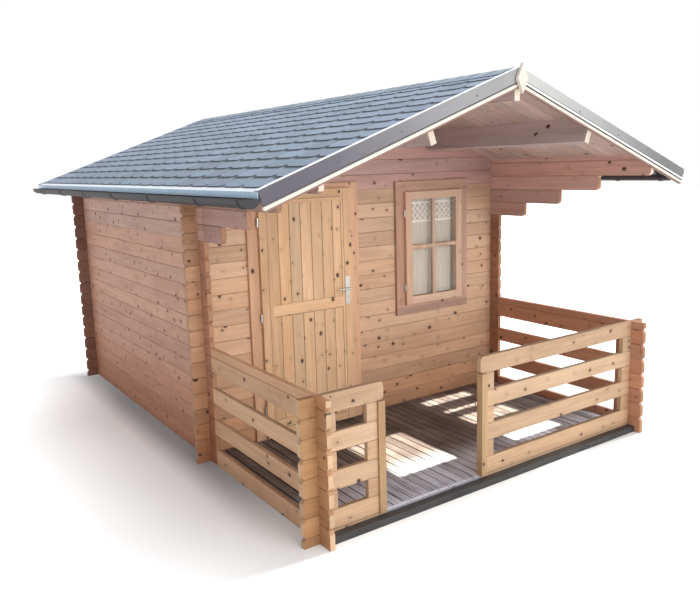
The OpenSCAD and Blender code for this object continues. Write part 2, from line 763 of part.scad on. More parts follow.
// Spindle with a lever on each side, both pointing to the hinges
module door_lever() color("#e2e4e6") translate([lever_x, 0, lever_z]) {
    outside = leaf_face - plate_t - lever_out;
    inside = leaf_inside + plate_t + lever_out;
    rotate([-90, 0, 0]) translate([0, 0, outside]) cylinder(r = spindle_r, h = inside - outside);
    for (side = [[outside, leaf_face - pin_gap], [inside, leaf_inside + pin_gap]]) {
        y0 = min(side);
        y1 = max(side);
        rotate([-90, 0, 0]) translate([0, 0, y0]) cylinder(r = lever_r, h = y1 - y0);
        translate([0, side[0], 0]) {
            sphere(r = lever_r);
            rotate([0, -90, 0]) cylinder(r = lever_r, h = lever_l - lever_r);
            translate([lever_r - lever_l, 0, 0]) sphere(r = lever_r);
        }
    }
}

// Window

// Rectangle around the sash's clear opening, grown by g
module pane(g) box2(pane_x0 - g, pane_z0 - g, pane_x1 + g, pane_z1 + g);

// Frame that wraps the edges of the wall opening
module window_frame() color("#c4854f") difference() {
    along_y(case_front, case_back) difference() {
        pane(frame_in + window_lap);
        pane(0);
    }
    along_y(-half_t, half_t) difference() {
        pane(frame_in + window_lap + 1);
        window_hole();
    }
}
// Sash: an outer layer that laps the frame and an inner layer inside it
module window_sash() color("#d9ae79") {
    rail = sash_rail - sash_lap;
    along_y(case_front - sash_outer_t, case_front) difference() {
        pane(sash_lap);
        pane(-rail);
    }
    along_y(case_front, case_front + sash_inner_t) difference() {
        pane(-1);
        pane(-rail);
    }
}
module window_glass() color("#b9c6c4", 0.4) along_y(glass_y, glass_y + glass_t) pane(sash_lap - sash_rail);
// Net curtain hung inside the window frame
module net_curtain() color("#dcd8d0") along_y(curtain_y, curtain_y + curtain_t)
    box2(pane_x0 + seat, pane_z0 + seat, pane_x1 - seat, pane_z1 - curtain_drop);

left_wall();
right_wall();
left_eave_logs();
right_eave_logs();
front_wall_left();
front_wall_right();
front_gable();
back_wall();
back_gable();
ridge_purlin();
mid_purlins();
left_roof_boards();
right_roof_boards();
left_shingles();
right_shingles();
ridge_cap();
left_verge_boards();
right_verge_boards();
left_verge_flashings();
right_verge_flashings();
eave_flashings();
gutters();
gutter_brackets();
ridge_plate();
terrace_deck();
cabin_floor();
bearers();
terrace_sill();
left_railing();
right_railing();
front_left_railing();
front_right_railing();
gate_posts();
door_left_jamb();
door_right_jamb();
door_head();
door_threshold();
door_leaf();
hinge_pins();
hinge_barrels();
handle_plates();
door_lever();
window_frame();
window_sash();
window_glass();
net_curtain();
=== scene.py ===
# %% [markdown]
# A log garden house with a railed terrace.
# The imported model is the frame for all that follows: walls, roof, door and hinges
# are already in their places, in metres, with the ground at zero and the front
# wall over the origin. Blender adds what the solids leave out, such as single
# shingles, ribbed deck boards and the net in the window, and then gives each
# surface its finish.

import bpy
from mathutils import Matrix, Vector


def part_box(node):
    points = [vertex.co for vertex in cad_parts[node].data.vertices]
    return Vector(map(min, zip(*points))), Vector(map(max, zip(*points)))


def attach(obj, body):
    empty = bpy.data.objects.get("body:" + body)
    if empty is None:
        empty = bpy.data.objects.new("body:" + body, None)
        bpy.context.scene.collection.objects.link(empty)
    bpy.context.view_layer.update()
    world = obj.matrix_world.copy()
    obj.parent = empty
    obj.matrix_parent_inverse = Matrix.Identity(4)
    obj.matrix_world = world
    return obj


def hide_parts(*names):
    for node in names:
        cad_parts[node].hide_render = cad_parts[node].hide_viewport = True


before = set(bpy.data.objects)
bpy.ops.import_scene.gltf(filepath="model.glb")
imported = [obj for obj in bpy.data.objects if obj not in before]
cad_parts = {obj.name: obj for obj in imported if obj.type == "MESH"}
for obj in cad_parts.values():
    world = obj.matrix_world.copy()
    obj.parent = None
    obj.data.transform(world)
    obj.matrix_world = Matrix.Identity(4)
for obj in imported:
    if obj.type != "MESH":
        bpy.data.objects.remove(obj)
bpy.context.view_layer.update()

# %% [markdown]
# The camera.
# The picture was taken from the front left, a little above eye height, with the
# camera turned slightly about its own axis. A camera can be aimed by a tracking
# constraint, but that hides the roll, so its three directions are worked out from
# the angles and written straight into the matrix. The small lens shift is there
# because the picture was cropped a little off its middle.

# %% Place the camera
import math
import bpy
from mathutils import Matrix, Vector

PHOTO_W, PHOTO_H = 700, 600
FOCAL_PX, MID_X, MID_Y = 721.10, 339.785, 288.10
YAW, PITCH, ROLL = (math.radians(a) for a in (33.966, -9.759, -1.693))

scene = bpy.context.scene
scene.view_settings.view_transform = "Standard"
ahead = Vector((math.sin(YAW) * math.cos(PITCH), math.cos(YAW) * math.cos(PITCH), math.sin(PITCH)))
level = Vector((math.cos(YAW), -math.sin(YAW), 0.0))
above = level.cross(ahead)
side = math.cos(ROLL) * level + math.sin(ROLL) * above
top = math.cos(ROLL) * above - math.sin(ROLL) * level
lens = bpy.data.cameras.new("camera")
lens.sensor_fit = "HORIZONTAL"
lens.sensor_width = 36.0
lens.lens = FOCAL_PX / PHOTO_W * lens.sensor_width
lens.shift_x = (PHOTO_W / 2 - MID_X) / PHOTO_W
lens.shift_y = (MID_Y - PHOTO_H / 2) / PHOTO_W
lens.clip_end = 200.0
camera = bpy.data.objects.new("camera", lens)
scene.collection.objects.link(camera)
camera.matrix_world = Matrix.Translation((-3.5562, -4.883, 2.1931)) @ Matrix(
    (side, top, -ahead)).transposed().to_4x4()
scene.camera = camera
print("lens", round(lens.lens, 2), "mm, shift", round(lens.shift_x, 4), round(lens.shift_y, 4))

# %% [markdown]
# Writing node trees as sums.
# Wood, shingles and metal are all sums and products of a few patterns. Wiring
# Math nodes by hand is slow to write and hard to read, so one small class stands
# for a socket and turns arithmetic on it into Math nodes. A second class adds any
# other node with one method. Both serve materials and geometry trees alike.

# %% A socket with arithmetic, and one method that adds nodes
class Wire:
    """One output of a node. Arithmetic on it adds Math nodes to the same tree."""

    def __init__(self, nodes, socket):
        self.nodes = nodes
        self.socket = socket

    def out(self, key):
        return Wire(self.nodes, self.socket.node.outputs[key])

    def math(self, operation, *values):
        return self.nodes.node("ShaderNodeMath", {"operation": operation}, dict(enumerate(values)))

    def __add__(self, other):
        return self.math("ADD", self, other)

    def __sub__(self, other):
        return self.math("SUBTRACT", self, other)

    def __rsub__(self, other):
        return self.math("SUBTRACT", other, self)

    def __mul__(self, other):
        return self.math("MULTIPLY", self, other)

    def __truediv__(self, other):
        return self.math("DIVIDE", self, other)

    def __pow__(self, other):
        return self.math("POWER", self, other)

    def __mod__(self, other):
        return self.math("FLOORED_MODULO", self, other)

    def __gt__(self, other):
        return self.math("GREATER_THAN", self, other)

    def __lt__(self, other):
        return self.math("LESS_THAN", self, other)

    def __abs__(self):
        return self.math("ABSOLUTE", self)

    def __floor__(self):
        return self.math("FLOOR", self)

    __radd__ = __add__
    __rmul__ = __mul__


class Nodes:
    """A node tree, and the one method that adds a node to it."""

    def __init__(self, tree):
        self.tree = tree
        tree.nodes.clear()

    def node(self, kind, settings=None, sockets=None, out=0):
        made = self.tree.nodes.new(kind)
        for key, value in (settings or {}).items():
            setattr(made, key, value)
        for key, value in (sockets or {}).items():
            for one in value if isinstance(value, list) else [value]:
                self.feed(made.inputs[key], one)
        return Wire(self, made.outputs[out]) if made.outputs else None

    def feed(self, socket, value):
        if isinstance(value, Wire):
            self.tree.links.new(value.socket, socket)
        elif socket.type == "RGBA" and len(value) == 3:
            socket.default_value = (*value, 1.0)
        else:
            socket.default_value = value


print("ready to wire")

# %% [markdown]
# A material from patterns.
# Each finish starts from Object coordinates, which are metres here, so a knot of
# 20 mm is written as 0.02 and stays 20 mm on every board. The helpers below name
# the few patterns that come back in all finishes: noise, a soft step, a mix of
# two colours, and the Principled shader at the end with a Bump node for its relief.

# %% Finishes
class Finish(Nodes):
    """A material, its usual patterns, and its shader, which is added last."""

    def __init__(self, name):
        self.material = bpy.data.materials.new(name)
        self.material.use_nodes = True
        super().__init__(self.material.node_tree)
        self.where = self.node("ShaderNodeTexCoord", out="Object")

    def split(self, vector):
        parts = self.node("ShaderNodeSeparateXYZ", None, {0: vector})
        return [parts.out(k) for k in range(3)]

    def place(self):
        return self.split(self.where)

    def facing(self):
        return self.split(self.where.out("Normal"))

    def vector(self, x, y, z):
        return self.node("ShaderNodeCombineXYZ", None, {0: x, 1: y, 2: z})

    def noise(self, vector, scale=1.0, detail=2.0, rough=0.5):
        sockets = {"Vector": vector, "Scale": scale, "Detail": detail, "Roughness": rough}
        return self.node("ShaderNodeTexNoise", {"noise_dimensions": "3D"}, sockets)

    def luck(self, x, y, z):
        """Three random values that belong to whole numbers x, y, z."""
        cell = self.vector(x, y, z)
        return self.split(self.node("ShaderNodeTexWhiteNoise", None, {"Vector": cell}, out="Color"))

    def step(self, value, low, high):
        """0 below low and 1 above high, with a smooth way between; low may be the larger."""
        sockets = {"Value": value, "From Min": low, "From Max": high}
        return self.node("ShaderNodeMapRange", {"interpolation_type": "SMOOTHSTEP"}, sockets)

    def mix(self, mask, first, second, kind="MIX"):
        settings = {"data_type": "RGBA", "blend_type": kind}
        return self.node("ShaderNodeMix", settings, {0: mask, 6: first, 7: second}, out=2)

    def shade(self, amount, colour):
        """A colour times a grey that follows amount, where 1 leaves it as it is."""
        return self.mix(1.0, colour, self.vector(amount, amount, amount), "MULTIPLY")

    def done(self, colour, roughness, relief=None, strength=0.3, depth=0.002, **fixed):
        sockets = {"Base Color": colour, "Roughness": roughness}
        if relief is not None:
            bump = {"Strength": strength, "Distance": depth, "Height": relief}
            sockets["Normal"] = self.node("ShaderNodeBump", None, bump, out="Normal")
        sockets.update({key.replace("_", " "): value for key, value in fixed.items()})
        shader = self.node("ShaderNodeBsdfPrincipled", None, sockets)
        self.node("ShaderNodeOutputMaterial", None, {"Surface": shader})
        return self.material


def dress(material, *names):
    """Puts a finish on solids of the frame."""
    for name in names:
        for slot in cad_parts[name].material_slots:
            slot.material = material
    print(material.name, "on", len(names), "solids")


# %% [markdown]
# Knotty pine.
# The house is planed pine under a thin oil: pale early wood between darker rings,
# dark knots with the rings bending round them, and one board redder than the next.
# A picture of wood would repeat and stretch, so the wood is computed. The boards
# are counted from their height, and each number draws its own luck for tone and
# for the shift of its grain. The knots are cells that are cut at the board's edge,
# as sawn knots are, with a ragged rim and a darker core, and faces that look along
# the grain show rings as an end does.
# Two tints are added by place: the foot of a wall is darker and more orange
# towards the ground, and the log tails that stick out past the crossings are darker too.

# %% The pine finish
TURN = 2.0 * math.pi
ENDS = (0.45, 0.235, 0.13), (0.27, 0.125, 0.06)
KNOT_RIM, KNOT_CORE, GAP_SHADE = (0.13, 0.05, 0.022), (0.03, 0.011, 0.005), (0.06, 0.022, 0.01)
RED, LOWER_TINT = (0.96, 0.80, 0.66), (0.86, 0.68, 0.54)
KNOTS_ALONG, KNOTS_ACROSS, RINGS_ACROSS = 7.0, 8.5, 85.0  # to the metre
END_RING = 0.0075
LOWER_FROM, LOWER_TO, FRESH_ABOVE = 1.1, 0.1, 2.03


def lie_x(at, of):
    return of[0], of[2], of[1]


def lie_y(at, of):
    return of[1], of[2], of[0]


def lie_z(at, of):
    return of[2], of[0], of[1]


def pine(name, lie, pale, deep, height=0.12, start=0.0, seam=0.34, knots=0.82, spread=0.28,
         ends=ENDS, foot=0.0, tails=None, tint=(0.72, 0.62, 0.54), fresh=None):
    """Planed pine. lie orders x, y, z as along, across and depth of the boards."""
    wood = Finish(name)
    at = wood.place()
    along, across, depth = lie(at, at)
    row = (across - start) / height
    board = math.floor(row)
    stack = math.floor(depth * 0.5 + 0.5)
    first, second, third = wood.luck(board, stack, 0.37)
    run = along + first * 31.0
    rise = across + second * 17.0

    cell = wood.node("ShaderNodeTexVoronoi", {"voronoi_dimensions": "2D"},
                     {"Vector": wood.vector(run * KNOTS_ALONG, rise * KNOTS_ACROSS, 0.0), "Scale": 1.0})
    away = cell.out("Distance")
    chance, cast, _ = wood.split(cell.out("Color"))
    radius = (chance - (1.0 - knots)) * (0.3 / knots)
    radius = radius * abs(radius) * 1.6
    lump = wood.noise(wood.vector(run * 60.0, rise * 60.0, depth * 60.0)) - 0.5
    ragged = away + lump * (radius > 0.005) * 0.12
    knot = wood.step(ragged - radius, 0.016, -0.012)
    core = wood.step(ragged - radius * 0.7, 0.012, -0.012)
    bulge = wood.step(away, 0.3, 0.0) * (radius > 0.005)

    sway = wood.noise(wood.vector(run * 1.1, rise * 7.0, depth * 7.0)) - 0.5
    ring = (rise * RINGS_ACROSS + sway * 6.0 + bulge * 2.6) * TURN
    ring = (ring.math("SINE", ring) * 0.5 + 0.5) ** 1.8
    fibre = wood.noise(wood.vector(run * 7.0, rise * 230.0, depth * 230.0))
    cloud = wood.noise(wood.vector(run * 1.6, rise * 9.0, depth * 9.0), 1.0, 3.0)
    streak = wood.noise(wood.vector(run * 2.4, rise * 38.0, depth * 38.0))

    colour = wood.mix(ring * 0.5 + fibre * 0.6 - 0.12, pale, deep)
    colour = wood.mix(wood.step(cloud, 0.42, 0.72) * 0.6, colour, deep)
    colour = wood.shade(0.81 + streak * 0.4, colour)
    colour = wood.shade(1.0 - spread * 0.6 + first * spread, colour)
    colour = wood.mix(third * spread * 2.0, colour, wood.mix(1.0, colour, RED, "MULTIPLY"))
    colour = wood.mix(bulge * 0.34, colour, tuple(0.66 * c for c in deep))
    # Darker and more orange towards the ground: a tint by height.
    lowered = wood.mix(1.0, colour, LOWER_TINT, "MULTIPLY")
    colour = wood.mix(wood.step(at[2], LOWER_FROM, LOWER_TO) * foot, colour, lowered)
    colour = wood.mix(knot * (0.6 + cast * 0.3), colour, KNOT_RIM)
    colour = wood.mix(core * (0.7 + cast * 0.28), colour, KNOT_CORE)

    slit = row - board
    slit = slit.math("MINIMUM", slit, 1.0 - slit) * height
    colour = wood.mix(wood.step(slit, 0.005, 0.0005) * seam, colour, GAP_SHADE)

    # Log tails past the crossings are multiplied by a darker tint of their own.
    if tails:
        low, high = tails
        crossed = wood.step(along, low + 0.02, low - 0.01) + wood.step(along, high - 0.02, high + 0.01)
        colour = wood.mix(crossed, colour, wood.mix(1.0, colour, tint, "MULTIPLY"))

    looks = lie(at, wood.facing())[0]
    end = wood.step(abs(looks), 0.72, 0.9)
    heart = across - (board + 0.2 + second * 0.6) * height - start
    near = depth - math.floor(depth / 0.3 + 0.5) * 0.3 + 0.03
    rings = (heart * heart + near * near) ** 0.5 * (TURN / END_RING) + fibre * 2.0
    rings = rings.math("SINE", rings) * 0.5 + 0.5
    sawn = wood.mix(rings * 0.7, *ends)
    sawn = wood.shade(0.8 + first * 0.35, sawn)
    if fresh:
        sawn = wood.mix((along < 0.0) * (at[2] > FRESH_ABOVE), sawn, wood.mix(rings * 0.7, *fresh))
    colour = wood.mix(end, colour, sawn)
    relief = ring * 0.25 + fibre * 0.45 - knot * 0.3
    return wood.done(colour, fibre * 0.16 + 0.5, relief, 0.35, 0.0015)


LOG_PALE, LOG_DEEP = (0.645, 0.46, 0.33), (0.46, 0.295, 0.195)
SUN_PALE, SUN_DEEP = (0.69, 0.48, 0.335), (0.50, 0.315, 0.20)
SHADE_PALE, SHADE_DEEP = (0.60, 0.362, 0.275), (0.43, 0.226, 0.155)
HONEY_PALE, HONEY_DEEP = (0.57, 0.405, 0.27), (0.42, 0.275, 0.165)
RAIL_PALE, RAIL_DEEP = (0.66, 0.42, 0.26), (0.46, 0.265, 0.15)
# The right railing's darker, redder colours are painted shade for its inner side.
RAIL_SHADE_PALE, RAIL_SHADE_DEEP = (0.60, 0.31, 0.20), (0.45, 0.21, 0.125)
DOOR_PALE, DOOR_DEEP = (0.70, 0.49, 0.32), (0.54, 0.34, 0.185)
EAVE_PALE, EAVE_DEEP = (0.58, 0.38, 0.325), (0.41, 0.245, 0.195)
# The gable's pinker colours are painted shade, for the roof's shade over the gable.
GABLE_SHADE_PALE, GABLE_SHADE_DEEP = (0.61, 0.415, 0.40), (0.44, 0.275, 0.255)
TERRACE_PALE, TERRACE_DEEP = (0.66, 0.44, 0.395), (0.47, 0.29, 0.25)
PALE_ENDS = (0.78, 0.66, 0.57), (0.64, 0.50, 0.40)
HONEY_ENDS = (0.62, 0.43, 0.27), (0.46, 0.29, 0.17)
DARK_ENDS = (0.23, 0.12, 0.08), (0.15, 0.07, 0.045)
LOG = 0.12
dress(pine("logs_along_y", lie_y, SHADE_PALE, SHADE_DEEP, LOG, 0.0, 0.24, 0.9, 0.2, foot=1.0,
           tails=(-0.02, 2.98)),
      "left_wall", "right_wall")
dress(pine("left_eave_wood", lie_y, EAVE_PALE, EAVE_DEEP, tails=(-0.12, 9.0), tint=(0.74, 0.7, 0.7),
           fresh=PALE_ENDS), "left_eave_logs")
dress(pine("right_eave_wood", lie_y, TERRACE_PALE, TERRACE_DEEP, knots=0.45, fresh=PALE_ENDS),
      "right_eave_logs")
dress(pine("front_logs", lie_x, LOG_PALE, LOG_DEEP, LOG, LOG / 2, foot=0.8, tails=(-1.5, 1.5)),
      "front_wall_right")
dress(pine("doorside_logs", lie_x, SUN_PALE, SUN_DEEP, LOG, LOG / 2, foot=0.8, tails=(-1.5, 1.5)),
      "front_wall_left")
dress(pine("back_logs", lie_x, SHADE_PALE, SHADE_DEEP, LOG, LOG / 2, ends=DARK_ENDS, foot=0.8,
           tails=(-1.5, 1.5), tint=(0.42, 0.36, 0.35)), "back_wall")
dress(pine("gable_logs", lie_x, GABLE_SHADE_PALE, GABLE_SHADE_DEEP, LOG, LOG / 2, knots=0.4),
      "front_gable", "back_gable")
dress(pine("left_rails", lie_y, RAIL_PALE, RAIL_DEEP, knots=0.6, ends=HONEY_ENDS, tails=(-1.52, 9.0),
           tint=(0.72, 0.62, 0.49)), "left_railing")
dress(pine("right_rails", lie_y, RAIL_SHADE_PALE, RAIL_SHADE_DEEP, knots=0.6), "right_railing")
dress(pine("front_rails", lie_x, HONEY_PALE, HONEY_DEEP, LOG, LOG / 2, knots=0.6, ends=HONEY_ENDS,
           tails=(-1.48, 1.5), tint=(0.78, 0.62, 0.45)), "front_left_railing", "front_right_railing")

# %% [markdown]
# Planed trim: posts, casings, beams.
# The trim is the same pine in narrower pieces, so the same function serves, with
# the grain turned to follow each piece. A window frame has upright and level
# members in one solid; there a mask on the place decides which way the grain runs.

# %% Trim, door and window wood
DOOR_FIELD, MIDDLE_RAIL, LOW_RAIL, HIGH_RAIL = (-0.932, -0.282), (1.035, 1.13), 0.21, 1.908
CASING_X, CASING_Z = (0.2, 1.2), (0.958, 1.94)
PANE_X, PANE_Z = (0.461, 0.979), (1.024, 1.874)


def between(value, low, high):
    return (value > low) * (value < high)


def turned(mask_of):
    """Grain along Z, or along X where the mask is 1."""
    def lie(at, of):
        mask = mask_of(*at)
        return of[2] + mask * (of[0] - of[2]), of[0] + mask * (of[2] - of[0]), of[1]
    return lie


def door_rails(x, y, z):
    level_part = between(z, *MIDDLE_RAIL) + (z < LOW_RAIL) + (z > HIGH_RAIL)
    return level_part * between(x, *DOOR_FIELD)


def casing_rails(x, y, z):
    return ((z < CASING_Z[0]) + (z > CASING_Z[1])) * between(x, *CASING_X)


def sash_rails(x, y, z):
    return ((z < PANE_Z[0]) + (z > PANE_Z[1])) * between(x, *PANE_X)


TRIM_PALE, TRIM_DEEP = (0.73, 0.475, 0.32), (0.55, 0.33, 0.21)
WINDOW_PALE, WINDOW_DEEP = (0.48, 0.305, 0.24), (0.35, 0.205, 0.15)
SASH_PALE, SASH_DEEP = (0.60, 0.43, 0.33), (0.46, 0.30, 0.21)
POST_PALE, POST_DEEP = (0.48, 0.345, 0.205), (0.35, 0.22, 0.115)
# The beams' grey-pink colours are a painted shade tint, for purlins seen in shade; the floor shares them.
BEAM_PALE, BEAM_DEEP = (0.55, 0.455, 0.455), (0.42, 0.325, 0.31)
ROOF_PALE, ROOF_DEEP = (0.63, 0.505, 0.475), (0.47, 0.36, 0.33)
dress(pine("posts", lie_z, POST_PALE, POST_DEEP, 0.11, 0.0, 0.0, 0.4), "gate_posts")
dress(pine("door_casing", lie_z, TRIM_PALE, TRIM_DEEP, 0.11, -1.12, 0.0, 0.5),
      "door_left_jamb", "door_right_jamb")
dress(pine("door_head_casing", lie_x, TRIM_PALE, TRIM_DEEP, 0.3, 1.9, 0.0, 0.5), "door_head")
dress(pine("door_boards", turned(door_rails), DOOR_PALE, DOOR_DEEP, 0.1, -0.962, 0.62, 0.78),
      "door_leaf")
dress(pine("window_casing", turned(casing_rails), WINDOW_PALE, WINDOW_DEEP, 0.31, 0.0, 0.0, 0.5),
      "window_frame")
sash_wood = pine("sash_wood", turned(sash_rails), SASH_PALE, SASH_DEEP, 0.31, 0.0, 0.0, 0.3)
dress(sash_wood, "window_sash")
dress(pine("beams", lie_y, BEAM_PALE, BEAM_DEEP, 0.8, 0.0, 0.0, 0.3, 0.2, PALE_ENDS),
      "ridge_purlin", "mid_purlins")
dress(pine("ridge_plate_wood", lie_z, (0.88, 0.83, 0.79), (0.78, 0.71, 0.65), 0.5, 0.2, 0.0, 0.1),
      "ridge_plate")

# %% [markdown]
# The slope.
# Both roof faces are flat and meet at the ridge, so one small function places
# anything on them: a distance down the slope, a place along the ridge and a height
# off the boarding's underside. The verge boards follow the slope too: the same
# height places a painted shadow line under the metal's drip edge and a dark lower
# edge of painted shade, which leaves one bright strip between two lines.

# %% Places on the roof, and its sloping wood
ROOF_TILT = math.radians(20.0)
RIDGE_Z = 2.7278
FALL_X, FALL_Z = math.cos(ROOF_TILT), math.sin(ROOF_TILT)
ROOF_HALF = 1.87
BOARD_FRONT, BOARD_BACK = (corner.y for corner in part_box("left_roof_boards"))
BOARDS, BOARD_T = 50, 0.019
BOARD_W = (BOARD_BACK - BOARD_FRONT) / BOARDS
DRIP, VERGE_END = -0.063, -0.080  # heights off the slope on a verge board


def on_slope(hand, down, along_ridge, off):
    """hand is -1 on the left slope and 1 on the right one."""
    return (hand * (down * FALL_X + off * FALL_Z), along_ridge, RIDGE_Z - down * FALL_Z + off * FALL_X)


def lie_slope(at, of):
    return of[0], of[1], of[2]


def verge_wood_finish():
    wood = Finish("verge_wood")
    x, y, z = wood.place()
    off = abs(x) * FALL_Z + (z - RIDGE_Z) * FALL_X
    along = abs(x)
    across = z + along * math.tan(ROOF_TILT)
    fibre = wood.noise(wood.vector(along * 7.0, across * 230.0, y * 230.0))
    cloud = wood.noise(wood.vector(along * 1.6, across * 9.0, y * 9.0), 1.0, 3.0)
    colour = wood.mix(fibre * 0.6 + cloud * 0.4 - 0.1, (0.88, 0.79, 0.73), (0.74, 0.62, 0.54))
    # A painted shadow line under the metal's drip edge.
    drip_shadow = wood.step(off, DRIP - 0.0015, DRIP + 0.0015) * wood.step(abs(y - 0.75), 1.0, 1.5)
    colour = wood.mix(drip_shadow * 0.85, colour, (0.07, 0.05, 0.045))
    # The board's lower edge is painted dark brown as shade.
    colour = wood.mix(wood.step(off, VERGE_END, VERGE_END - 0.003), colour, (0.26, 0.16, 0.13))
    return wood.done(colour, fibre * 0.16 + 0.5, fibre, 0.3, 0.001)


dress(verge_wood_finish(), "left_verge_boards", "right_verge_boards")
boarding_wood = pine("boarding_wood", lie_slope, ROOF_PALE, ROOF_DEEP, BOARD_W, BOARD_FRONT, 0.4, 0.5)
floor_wood = pine("floor_wood", lie_x, BEAM_PALE, BEAM_DEEP, 0.3, 0.0, 0.0, 0.4)

# %% [markdown]
# Rows of the same piece.
# Roof boards, shingle courses and deck boards are each one piece repeated along a
# line. Array modifiers would do it, but a geometry tree also lets two kinds
# of piece take turns, moves each one a hair out of line from a fixed seed, and
# numbers the pieces, so that a finish can give each its own tone. The tree ends in
# real geometry, which is then copied to a plain mesh.

# %% The row tree
def row_group():
    group = bpy.data.node_groups.new("row_of_pieces", "GeometryNodeTree")
    group.interface.new_socket("Geometry", in_out="OUTPUT", socket_type="NodeSocketGeometry")
    sizes = (("Geometry", "Geometry"), ("Count", "Int"), ("Step", "Vector"), ("Kinds", "Int"),
             ("Shift", "Vector"), ("Seed", "Int"), ("Material", "Material"))
    for label, kind in sizes:
        group.interface.new_socket(label, in_out="INPUT", socket_type="NodeSocket" + kind)
    row = Nodes(group)
    given = row.node("NodeGroupInput")
    line = row.node("GeometryNodeMeshLine", {"mode": "OFFSET"},
                    {"Count": given.out("Count"), "Offset": given.out("Step")})
    kind = row.node("GeometryNodeInputNamedAttribute", {"data_type": "INT"}, {"Name": "kind"})
    sorted_out = row.node("GeometryNodeSeparateGeometry", {"domain": "POINT"},
                          {"Geometry": given.out("Geometry"), "Selection": kind > 0.5})
    kinds = row.node("GeometryNodeGeometryToInstance", None,
                     {"Geometry": [sorted_out.out("Selection"), sorted_out.out("Inverted")]})
    index = row.node("GeometryNodeInputIndex")
    placed = row.node("GeometryNodeInstanceOnPoints", None,
                      {"Points": line, "Instance": kinds, "Pick Instance": True,
                       "Instance Index": index % given.out("Kinds")})
    back = row.node("ShaderNodeVectorMath", {"operation": "SCALE"},
                    {0: given.out("Shift"), "Scale": -1.0})
    stray = row.node("FunctionNodeRandomValue", {"data_type": "FLOAT_VECTOR"},
                     {0: back, 1: given.out("Shift"), "Seed": given.out("Seed")})
    moved = row.node("GeometryNodeTranslateInstances", None,
                     {"Instances": placed, "Translation": stray})
    marked = row.node("GeometryNodeStoreNamedAttribute", {"data_type": "INT", "domain": "INSTANCE"},
                      {"Geometry": moved, "Name": "piece", "Value": index})
    real = row.node("GeometryNodeRealizeInstances", None, {"Geometry": marked})
    coated = row.node("GeometryNodeSetMaterial", None,
                      {"Geometry": real, "Material": given.out("Material")})
    row.node("NodeGroupOutput", None, {"Geometry": coated})
    return group


ROW = row_group()
ROW_KEYS = {item.name: item.identifier for item in ROW.interface.items_tree if item.in_out == "INPUT"}


def row_of(mesh, material, count, step, kinds=1, shift=(0.0, 0.0, 0.0), seed=1):
    """A plain mesh of count copies, each one step on from the last."""
    holder = bpy.data.objects.new("row", mesh)
    scene.collection.objects.link(holder)
    maker = holder.modifiers.new("row", "NODES")
    maker.node_group = ROW
    for key, value in (("Count", count), ("Step", step), ("Kinds", kinds), ("Shift", shift),
                       ("Seed", seed), ("Material", material)):
        maker[ROW_KEYS[key]] = value
    seen = holder.evaluated_get(bpy.context.evaluated_depsgraph_get())
    plain = bpy.data.meshes.new_from_object(seen)
    bpy.data.objects.remove(holder)
    return plain


print("row tree has", len(ROW.nodes), "nodes and inputs", list(ROW_KEYS))

# %% [markdown]
# Solids from outlines.
# Nearly every wooden piece is an outline pushed along a line, as it comes from the
# planer, and screws and hinges are turned on a lathe. Both are loops of points with
# a skin between them, so one helper makes the skin, and a function that puts the
# points in space makes of it a floor board, a sloping roof board, a comb of shingles
# or a screw. Blender then turns all faces outwards.

# %% Outline helpers
import bmesh


def skinned(loops):
    """Points and faces of a closed shape through loops that have as many points each."""
    count = len(loops[0])
    last = (len(loops) - 1) * count
    faces = [[a + k, a + (k + 1) % count, a + count + (k + 1) % count, a + count + k]
             for a in range(0, last, count) for k in range(count)]
    return sum(loops, []), faces + [list(range(count)), list(range(last, last + count))]


def pushed(outline, put, ends):
    """An outline between two ends; put(a, b, end) gives x, y, z."""
    return skinned([[put(a, b, end) for a, b in outline] for end in ends])


def lathed(rings, put, sides):
    """A turned shape from (radius, height) rings; put(a, b, height) gives x, y, z."""
    turns = [(math.cos(TURN * k / sides), math.sin(TURN * k / sides)) for k in range(sides)]
    return skinned([[put(r * a, r * b, h) for a, b in turns] for r, h in rings])


def solid(name, *parts):
    """One mesh from lists of points and faces, with every face turned outwards."""
    mesh = bpy.data.meshes.new(name)
    points, faces = [], []
    for some, those in parts:
        faces += [[len(points) + k for k in face] for face in those]
        points += some
    mesh.from_pydata(points, [], faces)
    shell = bmesh.new()
    shell.from_mesh(mesh)
    bmesh.ops.recalc_face_normals(shell, faces=shell.faces)
    shell.to_mesh(mesh)
    shell.free()
    return mesh


def add_piece(mesh, name, slot, *replaced, material=None, body="house"):
    """Makes the mesh a piece that rides on a body and stands for solids of the frame."""
    made = bpy.data.objects.new(name, mesh)
    scene.collection.objects.link(made)
    if material is not None:
        mesh.materials.clear()
        mesh.materials.append(material)
    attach(made, body)
    if replaced:
        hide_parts(*replaced)
    print(name, len(mesh.polygons), "faces")
    return made


# %% [markdown]
# Roof boards.
# Under the shingles lie narrow boards that run from ridge to eave, with a small
# bevel on both lower edges, so that their joints show as fine lines from the
# terrace. They are seen only from below, and one bevelled board in a row is enough.

# %% Roof boarding
BEVEL = 0.004
board_outline = [(0.0, BEVEL), (BEVEL, 0.0), (BOARD_W - BEVEL, 0.0), (BOARD_W, BEVEL),
                 (BOARD_W, BOARD_T), (0.0, BOARD_T)]
for hand, side_name in ((-1, "left"), (1, "right")):
    def put(y, off, x, hand=hand):
        return hand * x, BOARD_FRONT + y, RIDGE_Z - x * math.tan(ROOF_TILT) + off / FALL_X
    one_board = solid("roof_board", pushed(board_outline, put, (0.0, ROOF_HALF)))
    boards = row_of(one_board, boarding_wood, BOARDS, (0.0, BOARD_W, 0.0))
    add_piece(boards, side_name + "_roof_boarding", "pine_beams", side_name + "_roof_boards")
